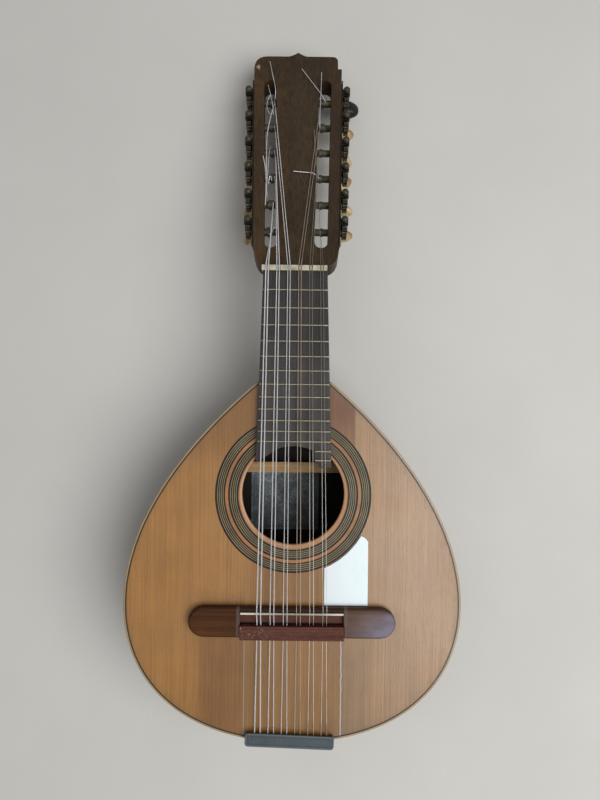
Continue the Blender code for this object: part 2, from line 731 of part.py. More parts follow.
def head_outline():
    """Give the head's outline: curved cheeks, tapered sides, a stepped corner and a small ogee."""
    root = (HEAD_ROOT_HALF_WIDTH, 0)
    cheek_x = head_side_x(HEAD_CORNER_LENGTH)
    cheek = (cheek_x, HEAD_CORNER_LENGTH)
    bulge_y = HEAD_CORNER_LENGTH / 5
    step_y = HEAD_TOP - STEP_BELOW_TOP
    shoulder_x = head_side_x(step_y)
    narrow = shoulder_x - STEP_WIDTH
    radius = RIGHT_CORNER_RADIUS
    right = quadratic(root, (cheek_x + CHEEK_BULGE_RIGHT, bulge_y), cheek, CHEEK_STEPS)
    right += [cheek, (shoulder_x, step_y), (narrow, step_y)]
    right += quadratic((narrow, HEAD_TOP - radius), (narrow, HEAD_TOP), (narrow - radius, HEAD_TOP), CHEEK_STEPS)
    right.append((narrow - radius, HEAD_TOP))
    ogee = []
    for i in range(-OGEE_HALF_STEPS, OGEE_HALF_STEPS + 1):
        share = i / OGEE_HALF_STEPS
        rise = OGEE_HEIGHT * (1 - abs(share)) ** OGEE_POWER
        ogee.append((-share * OGEE_HALF_WIDTH, HEAD_TOP + rise))
    top_left = (shoulder_x - LEFT_CORNER_LENGTH, HEAD_TOP)
    left = quadratic(root, (cheek_x + CHEEK_BULGE_LEFT, bulge_y), cheek, CHEEK_STEPS) + [cheek]
    left += quadratic((shoulder_x, step_y), (shoulder_x, HEAD_TOP), top_left, CHEEK_STEPS) + [top_left]
    return right + ogee + mirrored(left)


def slot_outline():
    """Give the outline of a head slot with round ends, in its side's frame."""
    middle = -SLOT_WALL - SLOT_WIDTH / 2
    half = SLOT_WIDTH / 2
    points = []
    for end_y, turn in ((SLOT_START + half, math.pi), (SLOT_END - half, 0)):
        for i in range(SLOT_END_STEPS + 1):
            angle = turn + math.pi * i / SLOT_END_STEPS
            points.append((middle + half * math.cos(angle), end_y + half * math.sin(angle)))
    return points


def tuner_along(number):
    """Give the distance along the head side of a roller's axis."""
    return FIRST_ROLLER + TUNER_SPACING * number


def roller_reach():
    """Give how far in from the head's side a roller's inner end lies."""
    return SLOT_WALL + SLOT_WIDTH + ROLLER_SEAT


def make_headstock(finishes):
    """Make the slotted head with its bores for the rollers."""
    head = prism("headstock", head_outline(), -HEAD_THICKNESS, 0, finishes["cedar"], HEAD_FRAME)
    over = HEAD_THICKNESS / 4
    slots = []
    bores = []
    bore_radius = (ROLLER_RADIUS + RUNNING_GAP) / math.cos(math.pi / ROLLER_SIDES)
    for side in (1, -1):
        slots.append(prism("slot", slot_outline(), -HEAD_THICKNESS - over, over, None, side_frame(side)))
        for number in range(TUNERS_PER_SIDE):
            along = tuner_along(number)
            start = side_point(side, over, along, -ROLLER_AXIS_DEPTH)
            end = side_point(side, -roller_reach() - RUNNING_GAP, along, -ROLLER_AXIS_DEPTH)
            bores.append(rod("bore", start, end, bore_radius, ROLLER_SIDES))
    shape_with(head, turned_out(group("slots_guide", slots)), "DIFFERENCE")
    shape_with(head, group("bores_guide", bores), "DIFFERENCE")


def turned_out(guide):
    """Turn a guide's faces outwards, which a mirrored frame turned in."""
    shape = bmesh.new()
    shape.from_mesh(guide.data)
    bmesh.ops.recalc_face_normals(shape, faces=shape.faces)
    shape.to_mesh(guide.data)
    shape.free()
    return guide


def gear_outline():
    """Give the outline of the worm wheel, with a gap between teeth pointing along +x."""
    points = []
    for tooth in range(GEAR_TEETH):
        middle = 2 * math.pi * (tooth + 0.5) / GEAR_TEETH
        for radius, width, turn in (
            (GEAR_ROOT_RADIUS, TOOTH_ROOT_WIDTH, -1),
            (GEAR_TIP_RADIUS, TOOTH_TIP_WIDTH, -1),
            (GEAR_TIP_RADIUS, TOOTH_TIP_WIDTH, 1),
            (GEAR_ROOT_RADIUS, TOOTH_ROOT_WIDTH, 1),
        ):
            angle = middle + turn * width / 2 / radius
            points.append((radius * math.cos(angle), radius * math.sin(angle)))
    return points


def roller_mesh(finish):
    """Make the mesh of a roller and its worm wheel, with z along the axis, outwards from the head."""
    wheel = prism("wheel", gear_outline(), GEAR_INNER_FACE, GEAR_INNER_FACE + GEAR_THICKNESS, finish)
    inner = -roller_reach()
    outer = GEAR_INNER_FACE + GEAR_THICKNESS / 2
    barrel = prism("barrel_guide", circle(ROLLER_RADIUS, ROLLER_SIDES), inner, outer, None)
    shape_with(wheel, barrel, "UNION")
    return settled_mesh(wheel)


def ear_levels():
    """Give the heights of the upper and lower ear's middles, from the head's face."""
    thread_half = (WORM_TURNS * WORM_PITCH + THREAD_BASE) / 2
    reach = thread_half + RUNNING_GAP + EAR_THICKNESS / 2
    return (-ROLLER_AXIS_DEPTH + reach, -ROLLER_AXIS_DEPTH - reach)


def worm_rings():
    """Give the round sections above the thread as (height, radius)."""
    ball_base = ear_levels()[0] + EAR_THICKNESS / 2 + RUNNING_GAP
    ball_middle = ball_base + BALL_RADIUS * BALL_CUT
    above = [(ball_base, SHAFT_RADIUS)]
    for angle in BALL_LATITUDES:
        turn = math.radians(angle)
        above.append((ball_middle + BALL_RADIUS * math.sin(turn), BALL_RADIUS * math.cos(turn)))
    return above


def button_rings(button):
    """Give the sections of a button, from its top to its end, as (height, half width, half thickness)."""
    start, length, half_width, half_thickness = button
    shares = ((0, 0.3, 0.6), (0.1, 0.62, 0.9), (0.38, 0.96, 1), (0.68, 0.96, 0.95), (0.93, 0.6, 0.72),
              (1, 0.34, 0.4))
    return [(-start - length * at, half_width * wide, half_thickness * thick) for at, wide, thick in shares]


def worm_mesh(name, button_turn, button, finish):
    """Make the mesh of a worm, its end ball and its button, with z up along the shaft.

    The thread is a right-handed screw of trapezoid section. Its ridge faces -y at the wheel's height.
    The button is given as its start below the head's face, length, half width and half thickness.
    """
    sides = WORM_SIDES
    vertices = []
    faces = []
    first_angle = -math.pi / 2 - math.pi * WORM_TURNS

    def add_ring(height, wide, thick, turn=0.0):
        start = len(vertices)
        for i in range(sides):
            angle = first_angle + 2 * math.pi * i / sides
            x = wide * math.cos(angle - turn)
            y = thick * math.sin(angle - turn)
            vertices.append((x * math.cos(turn) - y * math.sin(turn), x * math.sin(turn) + y * math.cos(turn),
                             height))
        return start

    def join_rings(low, high):
        for i in range(sides):
            after = (i + 1) % sides
            faces.append((low + i, low + after, high + after, high + i))

    # The thread's four edges, one row for each step of the screw
    steps = WORM_TURNS * sides
    rows = []
    middle = -ROLLER_AXIS_DEPTH
    profile = ((WORM_ROOT_RADIUS, -THREAD_BASE / 2), (WORM_TIP_RADIUS, -THREAD_CREST / 2),
               (WORM_TIP_RADIUS, THREAD_CREST / 2), (WORM_ROOT_RADIUS, THREAD_BASE / 2))
    for step in range(steps + 1):
        angle = first_angle + 2 * math.pi * step / sides
        centre = middle + WORM_PITCH * (step / sides - WORM_TURNS / 2)
        row = []
        for radius, rise in profile:
            row.append(len(vertices))
            vertices.append((radius * math.cos(angle), radius * math.sin(angle), centre + rise))
        rows.append(row)
    for row, after in zip(rows, rows[1:]):
        for k in range(3):
            faces.append((row[k], after[k], after[k + 1], row[k + 1]))
    faces.append(tuple(reversed(rows[0])))
    faces.append(tuple(rows[-1]))

    # The core between the turns of the thread
    for step in range(steps - sides):
        row, after = rows[step], rows[step + 1]
        over, over_after = rows[step + sides], rows[step + sides + 1]
        faces.append((row[3], after[3], over_after[0], over[0]))

    # The core below the first turn and above the last one
    end_reach = GLUE_GAP / 4
    low_ring = add_ring(vertices[rows[0][0]][2] - end_reach, WORM_ROOT_RADIUS, WORM_ROOT_RADIUS)
    high_ring = add_ring(vertices[rows[-1][3]][2] + end_reach, WORM_ROOT_RADIUS, WORM_ROOT_RADIUS)
    for i in range(sides - 1):
        faces.append((low_ring + i, low_ring + i + 1, rows[i + 1][0], rows[i][0]))
    last = sides - 1
    faces.append((low_ring + last, low_ring, rows[0][0], rows[0][3], rows[sides][0], rows[last][0]))
    top = steps - sides
    for i in range(1, sides):
        faces.append((rows[top + i][3], rows[top + i + 1][3], high_ring + (i + 1) % sides, high_ring + i))
    faces.append((rows[top][3], rows[top + 1][3], high_ring + 1, high_ring, rows[steps][3], rows[steps][0]))

    # Shaft, ball and button
    above = worm_rings()
    below = [(-button[0] + BUTTON_NECK, SHAFT_RADIUS)]
    ring_at = high_ring
    for height, radius in [(vertices[high_ring][2], SHAFT_RADIUS)] + above:
        after = add_ring(height, radius, radius)
        join_rings(ring_at, after)
        ring_at = after
    faces.append(tuple(range(ring_at, ring_at + sides)))
    ring_at = low_ring
    for height, radius in [(vertices[low_ring][2], SHAFT_RADIUS)] + below:
        after = add_ring(height, radius, radius)
        join_rings(after, ring_at)
        ring_at = after
    for height, wide, thick in button_rings(button):
        after = add_ring(height, wide, thick, button_turn)
        join_rings(after, ring_at)
        ring_at = after
    faces.append(tuple(reversed(range(ring_at, ring_at + sides))))
    holder = mesh_object(name, vertices, faces, finish)
    mesh = holder.data
    bpy.data.objects.remove(holder, do_unlink=True)
    return mesh


def place(name, mesh, frame):
    """Make an object from a mesh that other objects may share, and place it."""
    made = bpy.data.objects.new(name, mesh)
    bpy.context.scene.collection.objects.link(made)
    made.matrix_world = frame
    return made


def frame_of(origin, x_axis, y_axis, z_axis):
    """Make a placing from an origin and three axes."""
    frame = Matrix.Identity(4)
    for column, axis in enumerate((x_axis, y_axis, z_axis, origin)):
        frame.col[column][:3] = axis
    return frame


def side_name(side):
    """Name a side of the head."""
    return "right" if side > 0 else "left"


def make_tuners(finishes):
    """Make the twelve worms with their buttons and the twelve rollers with their wheels."""
    shared_roller = roller_mesh(finishes["brass"])
    for side, turns in ((1, BUTTON_TURNS_RIGHT), (-1, BUTTON_TURNS_LEFT)):
        frame = side_frame(side)
        out = frame.col[0].to_3d()
        along = frame.col[1].to_3d()
        up = frame.col[2].to_3d()
        for number in range(TUNERS_PER_SIDE):
            label = f"{side_name(side)}_{number + 1}"
            button = (BUTTON_START, BUTTON_LENGTH, BUTTON_HALF_WIDTH, BUTTON_HALF_THICKNESS)
            finish = finishes["ivory"]
            if side > 0 and number == TUNERS_PER_SIDE - 1:
                button = (KNOB_START, KNOB_LENGTH, KNOB_HALF_WIDTH, KNOB_HALF_THICKNESS)
                finish = finishes["black"]
            worm = worm_mesh(f"worm_{label}", math.radians(turns[number]), button, finish)
            origin = side_point(side, WORM_OUT, tuner_along(number) + WORM_OFFSET, 0)
            place(f"worm_{label}", worm, frame_of(origin, side * out, along, up))
            axis_at = side_point(side, 0, tuner_along(number), -ROLLER_AXIS_DEPTH)
            place(f"roller_{label}", shared_roller, frame_of(axis_at, along, side * up, out))


def make_machine_plates(finishes):
    """Make the plate on each side of the head, whose ears carry the worms."""
    inner = GLUE_GAP
    outer = GLUE_GAP + PLATE_THICKNESS
    first = tuner_along(0) - PLATE_END_MARGIN
    last = tuner_along(TUNERS_PER_SIDE - 1) + WORM_OFFSET + PLATE_END_MARGIN
    bore = (SHAFT_RADIUS + RUNNING_GAP) / math.cos(math.pi / WORM_SIDES)
    eye = (ROLLER_RADIUS + RUNNING_GAP) / math.cos(math.pi / ROLLER_SIDES)
    for side in (1, -1):
        bottom = -PLATE_TOP - PLATE_HEIGHT
        frame = side_frame(side)
        name = f"machine_plate_{side_name(side)}"
        plate = box(name, (inner, first, bottom), (outer, last, -PLATE_TOP), finishes["brass"])
        plate.data.transform(frame)
        turned_out(plate)
        ears = []
        holes = []
        for number in range(TUNERS_PER_SIDE):
            worm_at = tuner_along(number) + WORM_OFFSET
            for level in ear_levels():
                low = (outer - GLUE_GAP, worm_at - EAR_HALF_LENGTH, level - EAR_THICKNESS / 2)
                high = (WORM_OUT + EAR_HALF_LENGTH, worm_at + EAR_HALF_LENGTH, level + EAR_THICKNESS / 2)
                ears.append(box("ear", low, high, None, frame))
            start = side_point(side, WORM_OUT, worm_at, 0)
            end = side_point(side, WORM_OUT, worm_at, -HEAD_THICKNESS)
            holes.append(rod("hole", start, end, bore, WORM_SIDES))
            axis_depth = -ROLLER_AXIS_DEPTH
            start = side_point(side, 0, tuner_along(number), axis_depth)
            end = side_point(side, outer + GLUE_GAP, tuner_along(number), axis_depth)
            holes.append(rod("hole", start, end, eye, ROLLER_SIDES))
        shape_with(plate, turned_out(group(f"{name}_ears_guide", ears)), "UNION")
        shape_with(plate, group(f"{name}_holes_guide", holes), "DIFFERENCE")


def bridge_outline():
    """Give the bridge's outline: a long bar with round ends."""
    middle = (BRIDGE_FRONT_Y + BRIDGE_BACK_Y) / 2
    half_depth = (BRIDGE_FRONT_Y - BRIDGE_BACK_Y) / 2
    centre = BRIDGE_HALF_LENGTH - half_depth
    right = []
    for i in range(BRIDGE_END_STEPS + 1):
        angle = -math.pi / 2 + math.pi * i / BRIDGE_END_STEPS
        right.append((centre + half_depth * math.cos(angle), middle + half_depth * math.sin(angle)))
    return right + mirrored(right)


def make_bridge(finishes):
    """Make the bridge with its saddle slot, the channel behind it and the space for the tie block."""
    top = SEAT_Z + BRIDGE_HEIGHT
    bridge = prism("bridge", bridge_outline(), SEAT_Z, top, finishes["walnut"])
    soften = bridge.modifiers.new("rounded_edge", "BEVEL")
    soften.width = BRIDGE_ROUNDING
    soften.segments = 1
    soften.limit_method = "ANGLE"
    half_saddle = SADDLE_THICKNESS / 2 + GLUE_GAP
    slot_end = SADDLE_HALF_LENGTH + GLUE_GAP
    slot_floor = top - SADDLE_SLOT_DEPTH
    over = BRIDGE_HEIGHT
    slot = box("saddle_slot_guide", (-slot_end, -half_saddle, slot_floor), (slot_end, half_saddle, top + over))
    channel_end = BRIDGE_CENTRE_HALF - GLUE_GAP
    channel = box("channel_guide", (-channel_end, TIE_FRONT_Y - over, SEAT_Z + CHANNEL_HEIGHT),
                  (channel_end, -half_saddle - SADDLE_THICKNESS / 2, top + over))
    tie_end = BRIDGE_CENTRE_HALF + GLUE_GAP
    tie_space = box("tie_space_guide", (-tie_end, TIE_BACK_Y - over, SEAT_Z - over),
                    (tie_end, TIE_FRONT_Y + GLUE_GAP, top + over))
    for guide in (slot, channel, tie_space):
        shape_with(bridge, guide, "DIFFERENCE")
    half = SADDLE_THICKNESS / 2
    box("saddle", (-SADDLE_HALF_LENGTH, -half, slot_floor + GLUE_GAP), (SADDLE_HALF_LENGTH, half, SADDLE_TOP_Z),
        finishes["bone"])
    centre = BRIDGE_CENTRE_HALF
    tie = box("bridge_tie_block", (-centre, TIE_BACK_Y, SEAT_Z), (centre, TIE_FRONT_Y, SEAT_Z + TIE_HEIGHT),
              finishes["rosewood"])
    holes = []
    for index in range(2 * COURSES):
        x = string_x(index, SADDLE_PAIR_SPACING, SADDLE_PAIR_GAP)
        start = Vector((x, TIE_BACK_Y - over, SEAT_Z + TIE_HOLE_HEIGHT))
        end = Vector((x, TIE_FRONT_Y + over, SEAT_Z + TIE_HOLE_HEIGHT))
        holes.append(rod("hole", start, end, TIE_HOLE_RADIUS, TIE_HOLE_SIDES))
    shape_with(tie, group("tie_holes_guide", holes), "DIFFERENCE")


def make_guard_plate(finishes):
    """Make the guard plate beside the soundhole, cut back round the rosette."""
    low_y = BRIDGE_FRONT_Y + GUARD_BRIDGE_GAP
    radius = ROSETTE_OUTER_RADIUS + GUARD_RING_GAP
    right_x = ROSETTE_OUTER_RADIUS - GUARD_SIDE_SETBACK
    start = -math.acos(GUARD_LEFT_X / radius)
    end = -math.acos((right_x - GUARD_TIP_SETBACK) / radius)
    edge = []
    for i in range(GUARD_ARC_STEPS + 1):
        angle = start + (end - start) * i / GUARD_ARC_STEPS
        edge.append((radius * math.cos(angle), ROSETTE_Y + radius * math.sin(angle)))
    tip_x, tip_y = edge[-1]
    bulge = (right_x - GUARD_CORNER_BULGE, tip_y - GUARD_CORNER_BULGE)
    corner = quadratic((right_x, tip_y - GUARD_CORNER_DROP), bulge, (tip_x, tip_y), GUARD_CORNER_STEPS)
    outline = [(right_x, low_y)] + corner + list(reversed(edge))
    outline.append((GUARD_LEFT_X, low_y))
    prism("guard_plate", outline, SEAT_Z, SEAT_Z + GUARD_THICKNESS, finishes["pearl"])


def make_tailpiece(finishes):
    """Make the plate with the string hooks and the cover over it."""
    leg_front = TAIL_Y - GLUE_GAP
    leg_back = leg_front - FLANGE_SETBACK
    flange_top = SEAT_Z + FLANGE_THICKNESS
    plate = box("tailpiece_hook_plate", (-PLATE_FLANGE_HALF, leg_back, SEAT_Z),
                (PLATE_FLANGE_HALF, FLANGE_FRONT_Y, flange_top), finishes["brass"])
    leg = box("leg", (-FLANGE_LEG_HALF, leg_back - FLANGE_SETBACK / 2, SEAT_Z - FLANGE_LEG_HEIGHT),
              (FLANGE_LEG_HALF, leg_front, SEAT_Z + FLANGE_THICKNESS / 2))
    hooks = []
    for index in range(2 * COURSES):
        x = tail_x(index)
        start = Vector((x, HOOK_Y, SEAT_Z + FLANGE_THICKNESS / 2))
        end = Vector((x, HOOK_Y, flange_top + HOOK_HEIGHT))
        hooks.append(rod("hook", start, end, HOOK_RADIUS, HOOK_SIDES))
    shape_with(plate, group("leg_guide", [leg]), "UNION")
    shape_with(plate, group("hooks_guide", hooks), "UNION")
    make_tail_cover(finishes, flange_top)


def make_tail_cover(finishes, flange_top):
    """Make the cover of the tailpiece: a cap open below and, for the strings, at its front.

    It sits a little askew, so its own frame is turned about the cover's middle.
    """
    half = COVER_HALF_LENGTH
    depth = COVER_WIDTH / 2
    top = flange_top + COVER_HEIGHT
    skirt = SEAT_Z + GLUE_GAP
    corner = COVER_CORNER
    outline = []
    for x, y, turn in ((half, -depth, -90), (half, depth, 0), (-half, depth, 90), (-half, -depth, 180)):
        middle = (x - math.copysign(corner, x), y - math.copysign(corner, y))
        for i in range(COVER_CORNER_STEPS + 1):
            angle = math.radians(turn + 90 * i / COVER_CORNER_STEPS)
            outline.append((middle[0] + corner * math.cos(angle), middle[1] + corner * math.sin(angle)))
    middle_y = COVER_FRONT_Y - depth
    frame = Matrix.Translation((COVER_SIDE_SHIFT, middle_y, 0)) @ Matrix.Rotation(COVER_TURN, 4, "Z")
    cover = prism("tailpiece_cover", outline, skirt, top, finishes["slate"])
    cover.data.transform(frame)
    wall = COVER_WALL
    inside = box("cover_inside_guide", (-half + wall, -depth + wall, skirt - wall),
                 (half - wall, depth - wall, top - wall), None, frame)
    mouth = box("cover_mouth_guide", (-PLATE_FLANGE_HALF - GLUE_GAP, COVER_FRONT_Y - 3 * depth, skirt - wall),
                (PLATE_FLANGE_HALF + GLUE_GAP, COVER_FRONT_Y + depth, flange_top + GLUE_GAP))
    front = box("cover_front_guide", (-half + wall, depth - 2 * wall, skirt),
                (half - wall, depth + wall, top - COVER_LIP), None, frame)
    for guide in (inside, mouth, front):
        shape_with(cover, guide, "DIFFERENCE")


def tail_x(index):
    """Give the x of a string's hook on the tailpiece."""
    return string_x(index, TAIL_PAIR_SPACING, TAIL_PAIR_GAP)


def roller_contact(index):
    """Give where a string meets its roller, and its place and lane along the head.

    The outer pairs go to the nearest rollers and the inner pairs to the farthest ones.
    """
    side = -1 if index < COURSES else 1
    number = index if side < 0 else 2 * COURSES - 1 - index
    lane = -SLOT_WALL - SLOT_WIDTH * (1 - ROLLER_LANES[number])
    radius = string_diameter(index) / 2
    up = -ROLLER_AXIS_DEPTH + ROLLER_RADIUS + GLUE_GAP + radius
    return side, number, lane, up


def string_path(index):
    """Give a string's points from its roller to its hook."""
    radius = string_diameter(index) / 2
    side, number, lane, up = roller_contact(index)
    along = tuner_along(number)
    contact = side_point(side, lane, along, up)
    points = [contact]
    at_nut = nut_x(index)
    nut_z = NUT_TOP_Z - NUT_NOTCH_DEPTH + GLUE_GAP + radius
    if number > 1:
        entry_lane = -SLOT_WALL - SLOT_WIDTH + radius + 2 * GLUE_GAP
        points.append(side_point(side, entry_lane, along - SLOT_ENTRY_RUN, radius + 2 * GLUE_GAP))
    points.append(Vector((at_nut, NUT_BACK_Y, nut_z)))
    points.append(Vector((at_nut, SCALE_LENGTH, nut_z)))
    saddle_x = string_x(index, SADDLE_PAIR_SPACING, SADDLE_PAIR_GAP)
    saddle_z = SADDLE_TOP_Z + GLUE_GAP + radius
    points.append(Vector((saddle_x, SADDLE_THICKNESS / 2, saddle_z)))
    points.append(Vector((saddle_x, -SADDLE_THICKNESS / 2, saddle_z)))
    hole_z = SEAT_Z + TIE_HOLE_HEIGHT
    points.append(Vector((saddle_x, TIE_FRONT_Y + GLUE_GAP, hole_z)))
    points.append(Vector((saddle_x, TIE_BACK_Y - GLUE_GAP, hole_z)))
    end_y = HOOK_Y + HOOK_RADIUS + GLUE_GAP
    points.append(Vector((tail_x(index), end_y, SEAT_Z + TAIL_STRING_HEIGHT)))
    return points


def make_strings(finishes):
    """Make the twelve strings, each a thin tube from its roller to its hook."""
    for index in range(2 * COURSES):
        side = "bass" if index < COURSES else "treble"
        curve = bpy.data.curves.new(f"string_{index + 1:02d}_{side}", "CURVE")
        curve.dimensions = "3D"
        curve.bevel_depth = string_diameter(index) / 2
        curve.bevel_resolution = 1
        curve.use_fill_caps = True
        curve.materials.append(finishes["steel"])
        points = string_path(index)
        spline = curve.splines.new("POLY")
        spline.points.add(len(points) - 1)
        for point, place_at in zip(spline.points, points):
            point.co = (*place_at, 1)
        made = bpy.data.objects.new(curve.name, curve)
        bpy.context.scene.collection.objects.link(made)


def main():
    """Build the instrument."""
    clear_scene()
    finishes = make_materials()
    make_back(finishes)
    make_ribs(finishes)
    make_linings(finishes)
    make_soundboard(finishes)
    make_bars(finishes)
    make_tail_block(finishes)
    make_neck(finishes)
    make_fingerboard(finishes)
    make_nut(finishes)
    make_headstock(finishes)
    make_machine_plates(finishes)
    make_tuners(finishes)
    make_bridge(finishes)
    make_guard_plate(finishes)
    make_tailpiece(finishes)
    make_strings(finishes)
    bpy.context.view_layer.update()


main()
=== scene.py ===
"""Bandurria: the finish and the fine surfaces of a pear-shaped instrument with six pairs of strings.

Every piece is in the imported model's own frame: metres, the origin on the back below the middle of the
saddle, +Y along the neck to the head, +X the treble side and +Z out of the soundboard.
"""
import logging
import math
from dataclasses import dataclass, field
from enum import Enum
from typing import Any, Sequence

import bmesh
import bpy
import numpy as np
from mathutils import Matrix, Vector


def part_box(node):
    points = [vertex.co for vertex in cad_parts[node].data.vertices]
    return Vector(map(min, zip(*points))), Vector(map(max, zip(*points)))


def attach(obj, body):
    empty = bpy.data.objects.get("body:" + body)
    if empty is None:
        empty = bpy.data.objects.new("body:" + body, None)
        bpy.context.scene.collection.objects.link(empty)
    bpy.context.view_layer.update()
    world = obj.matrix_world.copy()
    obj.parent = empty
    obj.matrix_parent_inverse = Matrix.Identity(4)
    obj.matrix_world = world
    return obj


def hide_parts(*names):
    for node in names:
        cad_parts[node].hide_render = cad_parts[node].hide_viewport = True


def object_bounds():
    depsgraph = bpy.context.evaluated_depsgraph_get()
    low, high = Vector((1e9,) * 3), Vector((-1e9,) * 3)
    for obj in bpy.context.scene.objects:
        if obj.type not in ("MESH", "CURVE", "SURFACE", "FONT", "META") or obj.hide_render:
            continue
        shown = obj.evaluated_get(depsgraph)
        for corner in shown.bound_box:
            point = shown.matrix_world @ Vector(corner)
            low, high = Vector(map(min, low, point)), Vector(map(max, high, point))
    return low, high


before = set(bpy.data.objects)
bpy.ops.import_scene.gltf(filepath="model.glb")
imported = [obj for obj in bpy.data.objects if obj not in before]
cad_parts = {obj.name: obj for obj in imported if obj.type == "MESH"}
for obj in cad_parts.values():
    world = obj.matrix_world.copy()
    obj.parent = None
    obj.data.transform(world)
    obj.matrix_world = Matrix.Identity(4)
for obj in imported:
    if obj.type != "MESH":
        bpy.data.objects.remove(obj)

CAD_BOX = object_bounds()
MM = 0.001
LOG = logging.getLogger("bandurria")
Array = np.ndarray
Node = bpy.types.Node
Socket = bpy.types.NodeSocket
Tree = bpy.types.NodeTree
Piece = bpy.types.Object
Colour = tuple[float, float, float]
Pair = tuple[float, float]
Point = tuple[float, float, float]
SHARP_ANGLE = math.radians(38)
BEVEL_ANGLE = math.radians(32)
FLAT_ANGLE = math.radians(1)
WELD_DISTANCE = 1e-6
COAT_ROUGHNESS = 0.22


def low(node: str) -> Vector:
    """Give the lowest corner of a node's box."""
    return Vector(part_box(node)[0])


def high(node: str) -> Vector:
    """Give the highest corner of a node's box."""
    return Vector(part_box(node)[1])


def tone(red: int, green: int, blue: int) -> Colour:
    """Turn a colour of 0 to 255 steps, as a screen shows it, into the linear values that a shader takes.

    Dark steps are divided by 12.92, and brighter ones go through a power of 2.4.

    Args:
        red: The red step.
        green: The green step.
        blue: The blue step.

    Returns:
        The linear values.
    """
    steps = np.array([red, green, blue]) / 255
    linear = np.where(steps <= 0.04045, steps / 12.92, ((steps + 0.055) / 1.055) ** 2.4)
    return tuple(float(v) for v in linear)


def darker(colour: Colour, share: float) -> Colour:
    """Give a colour times a share."""
    return tuple(v * share for v in colour)


# Shader building


